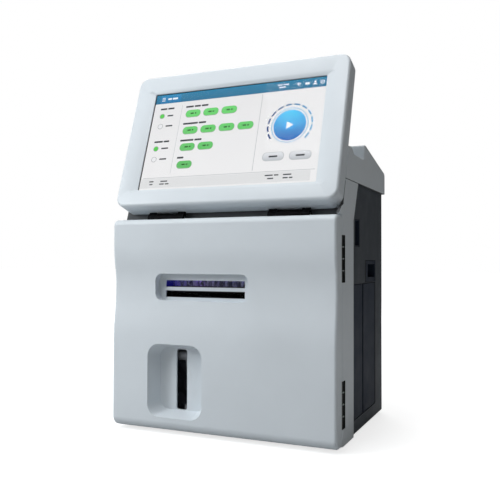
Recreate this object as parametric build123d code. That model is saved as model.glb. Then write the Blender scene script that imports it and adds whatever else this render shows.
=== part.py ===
from build123d import *
import math
import os

# Bench-top blood gas analyzer, millimetres.
# Frame: +X to the viewer's right, +Y to the back, +Z up; origin on the bench, under the centre.
# Sizes below are given as depth (behind the closed door's front plane) and height (above the
# cabinet's underside); at_depth() and at_height() turn them into Y and Z.

# ---- overall sizes -----------------------------------------------------------------------
BODY_WIDTH = 276.0
BODY_DEPTH = 226.0
FOOT_HEIGHT = 4.0
SEAM_HEIGHT = 284.5  # joint line between the cabinet and the top cover
HALF_WIDTH = BODY_WIDTH / 2

# ---- clearances --------------------------------------------------------------------------
SEAM_GAP = 0.8  # visible joint between two covers
SEAT_GAP = 0.3  # loose part on its seat
RUN_GAP = 0.05  # radial running fit of a shaft in its bore
SWING_GAP = 0.5  # moving part beside a fixed wall

# ---- walls -------------------------------------------------------------------------------
SHELL_WALL = 3.0
DOOR_WALL = 2.5
SHEET = 2.0
PANEL_INSET = 3.0  # dark side panels lie this far inside the pale frame

# ---- front door --------------------------------------------------------------------------
DOOR_HEIGHT = 243.7
DOOR_DEPTH = 18.2
DOOR_TOP_RADIUS = 6.5
DOOR_BOTTOM_RADIUS = 11.5
DOOR_EDGE_RADIUS = 3.5
SCOOP_LOW, SCOOP_MID, SCOOP_HIGH = 101.0, 165.0, 212.0
SCOOP_DEPTH = 4.6

WINDOW_X = -22.5
WINDOW_Z = 165.0
WINDOW_WIDTH, WINDOW_HEIGHT, WINDOW_RADIUS = 118.4, 31.0, 9.0
WINDOW_FLOOR = 14.3  # depth of the slotted back plate
SLOT_WIDTH, SLOT_HEIGHT = 101.7, 7.8
SLOT_HIGH_Z, SLOT_LOW_Z = 168.9, 157.0
LENS_THICK = 1.2

POCKET_X, POCKET_Z = -53.7, 57.8
POCKET_WIDTH, POCKET_HEIGHT, POCKET_RADIUS = 70.8, 83.9, 15.0
POCKET_DEPTH, POCKET_DRAFT = 19.7, 16.5
POCKET_SLOT_X, POCKET_SLOT_Z = -54.4, 57.2
POCKET_SLOT_WIDTH, POCKET_SLOT_HEIGHT = 14.0, 70.0

# ---- door hinges (vertical axis at the right edge) ---------------------------------------
HINGE_RADIUS = 5.2
HINGE_PIN_RADIUS = 1.6
HINGE_AXIS_X = HALF_WIDTH - 6.0
HINGE_AXIS_DEPTH = 24.5
HINGE_CENTRES = (43.4, 197.8)
KNUCKLE_LENGTH, KNUCKLE_GAP, KNUCKLE_COUNT = 11.4, 1.3, 4
LEAF_THICK = 1.5
LEAF_DEPTH = HINGE_AXIS_DEPTH + HINGE_RADIUS + SEAT_GAP  # the knuckles turn clear of the leaf
LEAF_POCKET_WALL = 2.2

# ---- door catch ---------------------------------------------------------------------------
MAGNET_X = -HALF_WIDTH + 10.0
MAGNET_HEIGHTS = (60.0, 184.0)
MAGNET_RADIUS, MAGNET_LENGTH, MAGNET_SINK = 4.0, 5.1, 0.1
KEEPER_WIDTH, KEEPER_HEIGHT, KEEPER_THICK = 12.0, 18.0, 0.4

# ---- frame behind the door ---------------------------------------------------------------
FRAME_FRONT = DOOR_DEPTH + SEAM_GAP
FRAME_REAR = 65.8
FRAME_REAR_TOP = 86.5
FRAME_BEND_HEIGHT = 240.2
FRAME_LIP = 20.0
FRAME_SILL = 14.0
SHELF_HEIGHT = DOOR_HEIGHT + 1.2
CHEEK_BEND_HEIGHT = 256.0
CHEEK_KNEE = (17.0, 253.0)  # depth and height of the right cheek's lower bend
CHEEK_TOE_DEPTH = 7.5

# ---- display head ------------------------------------------------------------------------
HEAD_TILT = 18.45
HEAD_DEPTH, HEAD_BASE = 2.44, 260.2  # front lower edge of the head's face
HEAD_HEIGHT = 177.1
HEAD_CORNER = 12.5
HEAD_EDGE_RADIUS = 3.2
BEZEL_THICK = 12.0
HEAD_SIDE_DEPTH = 21.0
HEAD_FULL_DEPTH = 27.0
HEAD_REAR_INSET = 12.0
HEAD_WALL = 2.5
HEAD_SCREW_X = (-116.0, 116.0)
HEAD_SCREW_HIGH = (11.0, 168.1)
SCREEN_WIDTH, SCREEN_HEIGHT = 222.7, 130.4
SCREEN_BASE = 21.5  # screen's lower edge above the head's lower edge
SCREEN_RECESS = 2.6
BEVEL_SIDE, BEVEL_END = 10.5, 5.0
GLASS_THICK, LCD_THICK = 1.1, 4.5
GLASS_MARGIN = 3.0
LCD_GAP = 0.2  # air between the glass and the panel behind it
GLASS_FRONT = -(SCREEN_RECESS + 1.0)  # out of the head's face
LCD_FRONT = GLASS_FRONT - GLASS_THICK - LCD_GAP
LCD_REAR = LCD_FRONT - LCD_THICK
CHASSIS_THICK, BOARD_STANDOFF = 1.2, 4.0
HEAD_NEST_DEPTH = HEAD_FULL_DEPTH + 2.0
CHEEK_DEPTH = HEAD_SIDE_DEPTH + 1.5
CHIN_HEIGHT = 22.0  # the head's lower edge keeps its full width this far up, right to its rear

# ---- head tilt hinges (axis along X below the head) --------------------------------------
TILT_AXIS_DEPTH, TILT_AXIS_HEIGHT = 22.6, 246.5
TILT_HINGE_X = 77.5
TILT_RADIUS, TILT_PIN_RADIUS = 4.0, 1.8
TILT_BASE_LENGTH, TILT_KNUCKLE_LENGTH = 29.0, 9.5
TILT_ARM_REACH = 24.0
TILT_POCKET_FLOOR = 240.5

# ---- top cover profile (depth, height, corner radius), front foot round to rear foot -----
COVER_PROFILE = (
    (59.0, 322.9, 9.0),
    (69.5, 316.2, 4.0),
    (113.6, 315.8, 5.0),
    (119.6, 335.0, 4.0),
    (220.5, 313.8, 9.0),
)
COVER_PEAK_HEIGHT = 321.6
COVER_REAR_HEIGHT = 311.5  # top of the rear face
COVER_RIM_CHAMFER = 1.2
COVER_OVERLAP = 7.5

# ---- side panels -------------------------------------------------------------------------
PANEL_FRONT = 60.0
TRAY_FLANGE = 11.0
PANEL_REAR = 219.0
PORT_BOX = (83.5, 103.7, 212.2, 244.3)  # depth from, to, height from, to
PULL_BOX = (132.8, 183.3, 170.2, 196.7)
PULL_CAVITY = (145.0, 181.5, 175.7, 192.1)
COVER_PLATE_BOX = (68.0, 116.5, 14.9, 169.2)
HATCH_BOX = (120.2, 179.0, 14.9, 169.2)
HATCH_THICK = 2.0
HATCH_AXIS_X = HALF_WIDTH - PANEL_INSET - 2.0
HATCH_AXIS_HEIGHT = 17.3
HATCH_NOSE_RADIUS = 2.0
HATCH_PIN_RADIUS = 1.2

# ---- fluidics behind the door ------------------------------------------------------------
BULKHEAD_DEPTH = 66.2
SENSOR_BOX = (-86.0, 41.0, 146.0, 186.0)  # x from, to, height from, to
SENSOR_FRONT = 26.0
ELECTRODE_COUNT, ELECTRODE_WIDTH, ELECTRODE_Z = 12, 6.8, 169.0
PUMP_X, PUMP_Z = 84.0, 160.0
PUMP_CAVITY_RADIUS, PUMP_ROTOR_RADIUS = 21.0, 11.5
PUMP_ROLLER_RADIUS, PUMP_ROLLER_ORBIT, PUMP_ROLLERS = 4.0, 12.6, 3
PUMP_TUBE_RADIUS = 1.9
PUMP_FRONT = 40.0
PUMP_SHAFT_RADIUS = 2.5

PROBE_AXIS_DEPTH, PROBE_AXIS_HEIGHT = 32.0, 84.0
PROBE_X = -51.3
PROBE_LENGTH, PROBE_RADIUS = 57.0, 1.0
PROBE_HUB_RADIUS, PROBE_PIN_RADIUS = 6.0, 1.5

# ---- rear --------------------------------------------------------------------------------
FAN_X, FAN_Z, FAN_SIZE, FAN_THICK = -62.0, 196.0, 60.0, 15.0
FAN_BORE_RADIUS = 28.0
GUARD_PITCH, GUARD_SLOT, GUARD_SPINE = 6.2, 3.6, 3.0
REAR_SCREW_HEIGHTS = (22.0, 147.0, 272.0)
SCREW_SHANK, SCREW_HEAD, SCREW_HEAD_HEIGHT = 1.5, 3.0, 1.9
PORT_HEIGHTS = (221.0, 235.5)
PORT_WIDTH, PORT_HEIGHT, PORT_WALL = 13.1, 5.9, 0.4
INLET_X, INLET_Z = 66.0, 34.0
SWITCH_X = 108.0
LAN_X = 12.0


def at_depth(depth):
    return depth - BODY_DEPTH / 2


def at_height(height):
    return height + FOOT_HEIGHT


def block(x, depth, height):
    """Box between two x values, two depths and two heights."""
    size = (x[1] - x[0], depth[1] - depth[0], height[1] - height[0])
    centre = (sum(x) / 2, at_depth(sum(depth) / 2), at_height(sum(height) / 2))
    return Pos(*centre) * Box(*size)


def side_face(points, radii=None):
    """Face from (depth, height) corners, in the plane x = 0, with rounded corners."""
    corners = [(at_depth(depth), at_height(height)) for depth, height in points]
    radii = radii or [0.0] * len(corners)
    return Plane.YZ * make_face(FilletPolyline(*corners, radius=radii, close=True))


def side_prism(points, x, radii=None):
    """Prism of a (depth, height) outline between two x values."""
    return extrude(Pos(x[0], 0, 0) * side_face(points, radii), amount=x[1] - x[0], dir=(1, 0, 0))


def front_slab(sketch, x, height, depth):
    """Sketch centred at x and height, seen from the front, between two depths."""
    back = Plane(origin=(x, at_depth(depth[1]), at_height(height)), x_dir=(1, 0, 0), z_dir=(0, -1, 0))
    return extrude(back * sketch, amount=depth[1] - depth[0])


def side_slab(sketch, depth, height, x):
    """Sketch centred at depth and height, seen from the right, between two x values."""
    left = Plane(origin=(x[0], at_depth(depth), at_height(height)), x_dir=(0, 1, 0), z_dir=(1, 0, 0))
    return extrude(left * sketch, amount=x[1] - x[0])


def rod_y(radius, x, depth, height):
    return front_slab(Circle(radius), x, height, depth)


def rod_x(radius, x, depth, height):
    return side_slab(Circle(radius), depth, height, x)


def rod_z(radius, x, depth, height):
    low = Pos(x, at_depth(depth), at_height(height[0]))
    return low * extrude(Circle(radius), amount=height[1] - height[0])


# ---- display head ------------------------------------------------------------------------
def head_place():
    """Head coordinates: x, height along the face from its lower edge, distance out of it."""
    tilt = math.radians(HEAD_TILT)
    return Plane(
        origin=(0, at_depth(HEAD_DEPTH), at_height(HEAD_BASE)),
        x_dir=(1, 0, 0),
        z_dir=(0, -math.cos(tilt), math.sin(tilt)),
    ).location


def head_line_depth(inward, height):
    """Depth, at a height, of the plane lying this far behind the head's face."""
    tilt = math.radians(HEAD_TILT)
    start_depth = HEAD_DEPTH + inward * math.cos(tilt)
    start_height = HEAD_BASE - inward * math.sin(tilt)
    return start_depth + (height - start_height) * math.tan(tilt)


def head_rect(width, low, high, radius, out):
    """Rectangle parallel to the head's face, with rounded corners if it has a radius."""
    shape = RectangleRounded(width, high - low, radius) if radius else Rectangle(width, high - low)
    return Pos(0, (low + high) / 2, out) * shape


def head_outline(inset, out):
    width = BODY_WIDTH - 2 * inset
    return head_rect(width, inset, HEAD_HEIGHT - inset, HEAD_CORNER - inset, out)


def head_box(x, high, out):
    centre = (sum(x) / 2, sum(high) / 2, sum(out) / 2)
    return Pos(*centre) * Box(x[1] - x[0], high[1] - high[0], out[1] - out[0])


def screen_rect(margin_x, margin_y, radius, out):
    low = SCREEN_BASE - margin_y
    high = SCREEN_BASE + SCREEN_HEIGHT + margin_y
    return head_rect(SCREEN_WIDTH + 2 * margin_x, low, high, radius, out)


def tilt_axis_in_head():
    tilt = math.radians(HEAD_TILT)
    back = TILT_AXIS_DEPTH - HEAD_DEPTH
    up = TILT_AXIS_HEIGHT - HEAD_BASE
    return (
        back * math.sin(tilt) + up * math.cos(tilt),
        -back * math.cos(tilt) + up * math.sin(tilt),
    )


def head_bezel():
    bezel = extrude(head_outline(0, -BEZEL_THICK), amount=BEZEL_THICK)
    front = bezel.faces().sort_by(Axis.Z)[-1]
    bezel = fillet(front.outer_wire().edges(), HEAD_EDGE_RADIUS)
    bezel -= extrude(head_outline(SHELL_WALL, -BEZEL_THICK), amount=BEZEL_THICK - SHELL_WALL)
    collar_margin = GLASS_MARGIN + 3.0
    collar = extrude(screen_rect(collar_margin, collar_margin, 0, -8.6), amount=8.6 - SHELL_WALL)
    collar -= extrude(screen_rect(GLASS_MARGIN, GLASS_MARGIN, 0, -8.6), amount=8.6 - SCREEN_RECESS - 1.0)
    bezel += collar
    mouth = screen_rect(BEVEL_SIDE, BEVEL_END, 5.0, 0)
    throat = screen_rect(0.2, 0.2, 1.2, -SCREEN_RECESS)
    bezel -= loft([throat, mouth])
    bezel -= extrude(screen_rect(0.2, 0.2, 1.2, -8.6), amount=8.6 - SCREEN_RECESS)
    for x, high in head_screw_places():
        bezel += head_box((x - 3.5, x + 3.5), (high - 3.5, high + 3.5), (-BEZEL_THICK, -SHELL_WALL))
        bezel -= Pos(x, high, -BEZEL_THICK) * extrude(screw_hole(), amount=7)
    return bezel


def head_screw_places():
    return [(x, high) for x in HEAD_SCREW_X for high in HEAD_SCREW_HIGH]


def head_back():
    side = -HEAD_SIDE_DEPTH
    rear = -HEAD_FULL_DEPTH
    joint = -(BEZEL_THICK + 0.1)
    rear_rect = head_rect(
        BODY_WIDTH - 2 * HEAD_REAR_INSET, 0.0, HEAD_HEIGHT - HEAD_REAR_INSET, HEAD_CORNER, rear
    )
    chin_x = (-HALF_WIDTH, HALF_WIDTH - SHELL_WALL - SWING_GAP)  # it passes inside the right cheek
    outer = extrude(head_outline(0, side), amount=joint - side)
    outer += loft([rear_rect, head_outline(0, side)])
    chin = head_box(chin_x, (0, CHIN_HEIGHT), (rear, side))
    outer += extrude(head_outline(0, rear), amount=side - rear) & chin
    inner_rear = head_rect(
        BODY_WIDTH - 2 * (HEAD_REAR_INSET + 0.5),
        HEAD_WALL,
        HEAD_HEIGHT - HEAD_REAR_INSET - 0.5,
        12.0,
        rear + HEAD_WALL,
    )
    inner = extrude(head_outline(HEAD_WALL, side), amount=joint - side)
    inner += loft([inner_rear, head_outline(HEAD_WALL, side)])
    back = outer - inner
    well = SCREW_HEAD + SEAT_GAP
    for x, high in head_screw_places():
        back += outer & head_box((x - 5, x + 5), (high - 5, high + 5), (rear, joint))
        back -= Pos(x, high, rear) * extrude(screw_hole(), amount=20)
        back -= head_box((x - well, x + well), (high - well, high + well), (rear - 1, side - 1.6))
    for column in range(11):
        for high in (52.0, 76.0):
            x = (column - 5) * 9.0
            back -= head_box((x - 1.5, x + 1.5), (high, high + 18.0), (rear - 1, rear + HEAD_WALL + 1))
    for centre in (-TILT_HINGE_X, TILT_HINGE_X):
        for knuckle in tilt_knuckles(centre):
            plate = (rear + HEAD_WALL, rear + HEAD_WALL + 2.3)
            slot = (knuckle[0] - 0.3, knuckle[1] + 0.3)
            back -= head_box(slot, (-1, HEAD_WALL + 1), plate)
    return back


def tilt_knuckles(centre):
    """X spans of the two head-side knuckles of one tilt hinge."""
    inner = TILT_BASE_LENGTH / 2 + SEAT_GAP
    outer = inner + TILT_KNUCKLE_LENGTH
    return (centre - outer, centre - inner), (centre + inner, centre + outer)


def tilt_hinge_arms():
    axis_high, axis_out = tilt_axis_in_head()
    seat = -HEAD_FULL_DEPTH + HEAD_WALL
    arms = []
    for centre in (-TILT_HINGE_X, TILT_HINGE_X):
        spans = tilt_knuckles(centre)
        arm = None
        for span in spans:
            knuckle = Pos(span[0], axis_high, axis_out) * Rot(0, 90, 0)
            piece = knuckle * extrude(Circle(TILT_RADIUS), amount=span[1] - span[0])
            piece += head_box(span, (axis_high, TILT_ARM_REACH), (seat, seat + 2.0))
            arm = piece if arm is None else arm + piece
        bridge = (TILT_ARM_REACH - 14, TILT_ARM_REACH)
        arm += head_box((spans[0][0], spans[1][1]), bridge, (seat, seat + 2.0))
        bore = Pos(spans[0][0] - 1, axis_high, axis_out) * Rot(0, 90, 0)
        arm -= bore * extrude(Circle(TILT_PIN_RADIUS), amount=spans[1][1] - spans[0][0] + 2)
        arms.append(arm)
    return arms


def tilt_hinge_pins():
    pins = []
    for centre in (-TILT_HINGE_X, TILT_HINGE_X):
        spans = tilt_knuckles(centre)
        pins.append(rod_x(TILT_PIN_RADIUS, (spans[0][0], spans[1][1]), TILT_AXIS_DEPTH, TILT_AXIS_HEIGHT))
    return pins


def tilt_hinge_bases():
    bases = []
    for centre in (-TILT_HINGE_X, TILT_HINGE_X):
        x = (centre - TILT_BASE_LENGTH / 2, centre + TILT_BASE_LENGTH / 2)
        base = rod_x(TILT_RADIUS, x, TILT_AXIS_DEPTH, TILT_AXIS_HEIGHT)
        web = (TILT_AXIS_DEPTH - 2.8, TILT_AXIS_DEPTH + 2.8)
        base += block(x, web, (TILT_POCKET_FLOOR, TILT_AXIS_HEIGHT))
        plate = (centre - 22.0, centre + 22.0)
        foot = (TILT_AXIS_DEPTH - 3.7, TILT_AXIS_DEPTH + 3.7)
        base += block(plate, foot, (TILT_POCKET_FLOOR, TILT_POCKET_FLOOR + 1.2))
        base -= rod_x(TILT_PIN_RADIUS + RUN_GAP, x, TILT_AXIS_DEPTH, TILT_AXIS_HEIGHT)
        bases.append(base)
    return bases


def touch_glass():
    margin = GLASS_MARGIN - 0.2
    return extrude(screen_rect(margin, margin, 0, GLASS_FRONT - GLASS_THICK), amount=GLASS_THICK)


def lcd_panel():
    margin = GLASS_MARGIN - 0.4
    return extrude(screen_rect(margin, margin, 0, LCD_REAR), amount=LCD_THICK)


def display_chassis():
    """Sheet behind the panel, lightened by two windows, with pegs for the display's board."""
    rear = LCD_REAR - CHASSIS_THICK
    plate = extrude(screen_rect(8.0, 4.5, 0, rear), amount=CHASSIS_THICK)
    for x in (-70, 70):
        plate -= head_box((x - 30, x + 30), (SCREEN_BASE + 35, SCREEN_BASE + 95), (rear - 1, LCD_REAR + 1))
    for x in (-45, 45):
        for high in (50, 120):
            plate += head_box((x - 3, x + 3), (high - 3, high + 3), (rear - BOARD_STANDOFF, rear))
    return plate


def display_board():
    front = LCD_REAR - CHASSIS_THICK - BOARD_STANDOFF
    board = head_box((-52, 52), (44, 126), (front - 1.6, front))
    board += head_box((-18, 4), (80, 102), (front - 3.8, front - 1.6))
    for x in (14, 28):
        board += head_box((x, x + 9), (84, 98), (front - 3.2, front - 1.6))
    for x in (-44, -20, 10):
        board += head_box((x, x + 18), (46, 52), (front - 5.0, front - 1.6))
    return board


def screw_hole():
    """Eight-sided, so that the many small holes stay light."""
    return RegularPolygon(SCREW_SHANK + 0.3, 8)


def plain_screw(length):
    """Six-sided head below the origin and a shank above it."""
    head = Pos(0, 0, -SCREW_HEAD_HEIGHT) * extrude(RegularPolygon(SCREW_HEAD, 6), amount=SCREW_HEAD_HEIGHT)
    return head + extrude(RegularPolygon(SCREW_SHANK, 6), amount=length)


def head_screws():
    seat = -HEAD_SIDE_DEPTH - 1.6
    return [Pos(x, high, seat) * plain_screw(14) for x, high in head_screw_places()]


# ---- front door --------------------------------------------------------------------------
def scoop_run(rise):
    """Radius and angle of the two equal arcs that lead into the scoop or out of it."""
    radius = (rise**2 + SCOOP_DEPTH**2) / (4 * SCOOP_DEPTH)
    return radius, 2 * math.degrees(math.atan(SCOOP_DEPTH / rise))


def door_side_face(inset):
    """Door section in depth and height; the front runs in and out of the shallow scoop."""
    low, high = at_height(inset), at_height(DOOR_HEIGHT - inset)
    front, rear = at_depth(inset), at_depth(DOOR_DEPTH + inset)
    low_r = max(DOOR_BOTTOM_RADIUS - inset, 1.0)
    top_r = max(DOOR_TOP_RADIUS - inset, 1.0)
    scoop = Curve()
    at = Vector(front, at_height(SCOOP_LOW))
    for rise, turn in ((SCOOP_MID - SCOOP_LOW, -1), (SCOOP_HIGH - SCOOP_MID, 1)):
        radius, angle = scoop_run(rise)
        bend = JernArc(at, (0, 1), radius, turn * angle)
        back = JernArc(bend @ 1, bend % 1, radius, -turn * angle)
        scoop += [bend, back]
        at = back @ 1
    top = JernArc((front, high - top_r), (0, 1), top_r, -90)
    bottom = JernArc((front + low_r, low), (-1, 0), low_r, -90)
    rest = Polyline(top @ 1, (rear, high), (rear, low), bottom @ 0)
    straight = Line(bottom @ 1, (front, at_height(SCOOP_LOW))) + Line(at, top @ 0)
    return Plane.YZ * make_face(scoop + straight + top + rest + bottom)


def door_body(inset):
    half = HALF_WIDTH - inset
    return extrude(Pos(-half, 0, 0) * door_side_face(inset), amount=2 * half, dir=(1, 0, 0))


def knuckle_spans(centre):
    """Height spans of one hinge's knuckles, lowest first."""
    pitch = KNUCKLE_LENGTH + KNUCKLE_GAP
    start = centre - (KNUCKLE_COUNT * pitch - KNUCKLE_GAP) / 2
    return [(start + n * pitch, start + n * pitch + KNUCKLE_LENGTH) for n in range(KNUCKLE_COUNT)]


def window_opening(margin, depth):
    rect = RectangleRounded(WINDOW_WIDTH + 2 * margin, WINDOW_HEIGHT + 2 * margin, WINDOW_RADIUS + margin)
    return front_slab(rect, WINDOW_X, WINDOW_Z, depth)


def view_slot(height, depth):
    return front_slab(Rectangle(SLOT_WIDTH, SLOT_HEIGHT), WINDOW_X, height, depth)


def sample_pocket(margin, depth):
    """Drafted tub of the sample port, grown outward by margin for its wall."""
    draft = POCKET_DEPTH * math.tan(math.radians(POCKET_DRAFT))
    span = depth[1] - depth[0]
    shrink = draft * span / POCKET_DEPTH
    faces = []
    for at, less in ((depth[0], 0.0), (depth[1], shrink)):
        place = Plane(
            origin=(POCKET_X, at_depth(at), at_height(POCKET_Z)), x_dir=(1, 0, 0), z_dir=(0, -1, 0)
        )
        width = POCKET_WIDTH + 2 * (margin - less)
        height = POCKET_HEIGHT + 2 * (margin - less)
        faces.append(place * RectangleRounded(width, height, POCKET_RADIUS + margin - 0.55 * less))
    return loft(faces)


def door_shell():
    door = door_body(0.0)
    rim = [
        edge
        for edge in door.edges()
        if abs(abs(edge.center().X) - HALF_WIDTH) < 0.01 and edge.center().Y < at_depth(DOOR_DEPTH - 1)
    ]
    door = fillet(rim, DOOR_EDGE_RADIUS)
    door -= door_body(DOOR_WALL)
    inner = door_body(DOOR_WALL - 0.5)
    back = DOOR_DEPTH
    for x in (-112.0, 62.0, 100.0):
        door += inner & block((x - 0.9, x + 0.9), (0, 11.0), (8.0, DOOR_HEIGHT - 6))
    for height in (124.0, 229.0):
        door += inner & block((-HALF_WIDTH + 2, HALF_WIDTH - 2), (0, 11.0), (height - 0.9, height + 0.9))
    boss_x = (HINGE_AXIS_X - 12.0, HINGE_AXIS_X - HINGE_RADIUS)
    for centre in HINGE_CENTRES:
        door += inner & block(boss_x, (0, 16.5), (centre - 24, centre + 24))
    seat = DOOR_DEPTH - MAGNET_SINK - MAGNET_LENGTH
    for height in MAGNET_HEIGHTS:
        door += inner & block((MAGNET_X - 6, MAGNET_X + 6), (0, seat), (height - 12, height + 12))
    wall = window_opening(DOOR_WALL, (0, WINDOW_FLOOR + 2.0))
    door += door_body(0.0) & wall
    door -= window_opening(0.0, (-1, WINDOW_FLOOR))
    for height in (SLOT_HIGH_Z, SLOT_LOW_Z):
        door -= view_slot(height, (WINDOW_FLOOR - 1, WINDOW_FLOOR + 3))
    door += sample_pocket(DOOR_WALL, (0.4, POCKET_DEPTH + 2.0))
    door -= sample_pocket(0.0, (0.0, POCKET_DEPTH))
    door -= front_slab(
        RectangleRounded(POCKET_WIDTH, POCKET_HEIGHT, POCKET_RADIUS), POCKET_X, POCKET_Z, (-1, 0.01)
    )
    slot = RectangleRounded(POCKET_SLOT_WIDTH, POCKET_SLOT_HEIGHT, 3.0)
    door -= front_slab(slot, POCKET_SLOT_X, POCKET_SLOT_Z, (POCKET_DEPTH - 4, back + 8))
    return door


def slot_lens():
    rect = Rectangle(SLOT_WIDTH + 7, SLOT_HEIGHT * 2 + 9.5)
    front = WINDOW_FLOOR + 2.0
    return front_slab(rect, WINDOW_X, (SLOT_HIGH_Z + SLOT_LOW_Z) / 2, (front, front + LENS_THICK))


def door_hinge_arm(centre):
    """Door half of a hinge: two knuckles and the plate on the door's boss."""
    spans = knuckle_spans(centre)
    face = HINGE_AXIS_X - HINGE_RADIUS
    arm = block((face, face + 2.0), (8.0, 16.0), (centre - 22.5, centre + 22.5))
    for span in (spans[1], spans[3]):
        arm += block((face, face + 3.4), (8.0, HINGE_AXIS_DEPTH), span)
        arm += rod_z(HINGE_RADIUS, HINGE_AXIS_X, HINGE_AXIS_DEPTH, span)
    bore = HINGE_PIN_RADIUS + RUN_GAP
    return arm - rod_z(bore, HINGE_AXIS_X, HINGE_AXIS_DEPTH, (centre - 30, centre + 30))


def body_hinge_leaf(centre):
    """Cabinet half of a hinge: two knuckles and the plate in the frame's pocket."""
    spans = knuckle_spans(centre)
    low, high = spans[0][0], spans[-1][1]
    inner = HINGE_AXIS_X - HINGE_RADIUS
    leaf = block((inner, HALF_WIDTH - 1.5), (LEAF_DEPTH, LEAF_DEPTH + LEAF_THICK), (low, high))
    for span in (spans[0], spans[2]):
        leaf += rod_z(HINGE_RADIUS, HINGE_AXIS_X, HINGE_AXIS_DEPTH, span)
        leaf += block((HINGE_AXIS_X - 2.5, HINGE_AXIS_X + 2.5), (HINGE_AXIS_DEPTH, LEAF_DEPTH + 0.5), span)
    return leaf - rod_z(HINGE_PIN_RADIUS, HINGE_AXIS_X, HINGE_AXIS_DEPTH, (centre - 30, centre + 30))


def door_hinge_pins():
    pins = []
    for centre in HINGE_CENTRES:
        spans = knuckle_spans(centre)
        height = (spans[0][0], spans[-1][1])
        pins.append(rod_z(HINGE_PIN_RADIUS, HINGE_AXIS_X, HINGE_AXIS_DEPTH, height))
    return pins


def door_magnets():
    rear = DOOR_DEPTH - MAGNET_SINK
    depth = (rear - MAGNET_LENGTH, rear)
    return [rod_y(MAGNET_RADIUS, MAGNET_X, depth, height) for height in MAGNET_HEIGHTS]


def keeper_plates():
    plate = Rectangle(KEEPER_WIDTH, KEEPER_HEIGHT)
    depth = (FRAME_FRONT - KEEPER_THICK, FRAME_FRONT)
    return [front_slab(plate, MAGNET_X, height, depth) for height in MAGNET_HEIGHTS]


# ---- cabinet shells ----------------------------------------------------------------------
def frame_side_points(side):
    """Frame section in depth and height; only the right cheek runs forward below the head."""
    top = SEAM_HEIGHT - SEAM_GAP / 2
    rear_slope = (FRAME_REAR_TOP - FRAME_REAR) / (SEAM_HEIGHT - FRAME_BEND_HEIGHT)
    rear_top = FRAME_REAR + rear_slope * (top - FRAME_BEND_HEIGHT)
    points = [(FRAME_FRONT, 0.0), (FRAME_REAR, 0.0), (FRAME_REAR, FRAME_BEND_HEIGHT), (rear_top, top)]
    if side < 0:
        points += [(head_line_depth(HEAD_NEST_DEPTH, height), height) for height in (top, SHELF_HEIGHT)]
    else:
        points += [(head_line_depth(CHEEK_DEPTH, height), height) for height in (top, CHEEK_BEND_HEIGHT)]
        points += [CHEEK_KNEE, (CHEEK_TOE_DEPTH, SHELF_HEIGHT + 0.4)]
    return points + [(FRAME_FRONT, SHELF_HEIGHT)]


def front_frame():
    top = SEAM_HEIGHT - SEAM_GAP / 2
    inner = HALF_WIDTH - SHELL_WALL
    frame = side_prism(frame_side_points(1), (inner, HALF_WIDTH))
    frame += side_prism(frame_side_points(-1), (-HALF_WIDTH, -inner))
    front = (FRAME_FRONT, FRAME_FRONT + SHELL_WALL)
    opening = (-HALF_WIDTH + FRAME_LIP, HALF_WIDTH - FRAME_LIP)
    ring = block((-HALF_WIDTH, HALF_WIDTH), front, (0, SHELF_HEIGHT))
    ring -= block(opening, (0, 40), (FRAME_SILL, DOOR_HEIGHT - 8))
    frame += ring
    frame += block((-inner, inner), (FRAME_FRONT, FRAME_REAR), (0, SHELL_WALL))
    shelf_rear = head_line_depth(HEAD_NEST_DEPTH, SHELF_HEIGHT) + 2
    frame += block((-inner, inner), (FRAME_FRONT, shelf_rear), (SHELF_HEIGHT - SHELL_WALL, SHELF_HEIGHT))
    low = SHELF_HEIGHT - SHELL_WALL
    neck = [(head_line_depth(HEAD_NEST_DEPTH, h), h) for h in (low, top)]
    neck += [(depth + 2.6, h) for depth, h in reversed(neck)]
    frame += side_prism(neck, (-inner, inner))
    for height in (FRAME_SILL + 40, 130.0, 200.0):
        for side in (-1, 1):
            rib = sorted((side * (inner + 0.5), side * (inner - 7.0)))
            if side < 0 or all(abs(height - centre) > 30 for centre in HINGE_CENTRES):
                frame += block(rib, (front[1] - 0.5, PANEL_FRONT - 1), (height - 1, height + 1))
    for side in (-1, 1):
        tuck = sorted((side * inner, side * (inner - SHEET - SEAT_GAP)))
        frame -= block(tuck, (PANEL_FRONT - SEAT_GAP, FRAME_REAR + 1), (-1, SHEET + 3))
    for centre in HINGE_CENTRES:
        spans = knuckle_spans(centre)
        low, high = spans[0][0] - SWING_GAP, spans[-1][1] + SWING_GAP
        x = (HINGE_AXIS_X - HINGE_RADIUS - 0.8, HALF_WIDTH + 1)
        depth = (0, LEAF_DEPTH + LEAF_THICK)
        wall = LEAF_POCKET_WALL
        wall_x = (x[0] - wall, inner + 0.5)
        frame += block(wall_x, (FRAME_FRONT, depth[1] + wall), (low - wall, high + wall))
        frame -= block(x, depth, (low, high))
    frame -= door_sweep_relief()
    for centre in (-TILT_HINGE_X, TILT_HINGE_X):
        spans = tilt_knuckles(centre)
        x = (spans[0][0] - SWING_GAP, spans[1][1] + SWING_GAP)
        depth = (FRAME_FRONT, TILT_AXIS_DEPTH + TILT_RADIUS + 1.2)
        wall_height = (TILT_POCKET_FLOOR - 2.5, SHELF_HEIGHT - SHELL_WALL + 0.5)
        frame += block((x[0] - 2, x[1] + 2), (depth[0], depth[1] + 2), wall_height)
        frame -= block(x, (0, depth[1]), (TILT_POCKET_FLOOR, SHELF_HEIGHT + 1))
    grommet = Pos(0, at_depth(36), at_height(262)) * Rot(90, 0, 0) * Cylinder(7.0, 30)
    return frame - grommet


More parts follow.
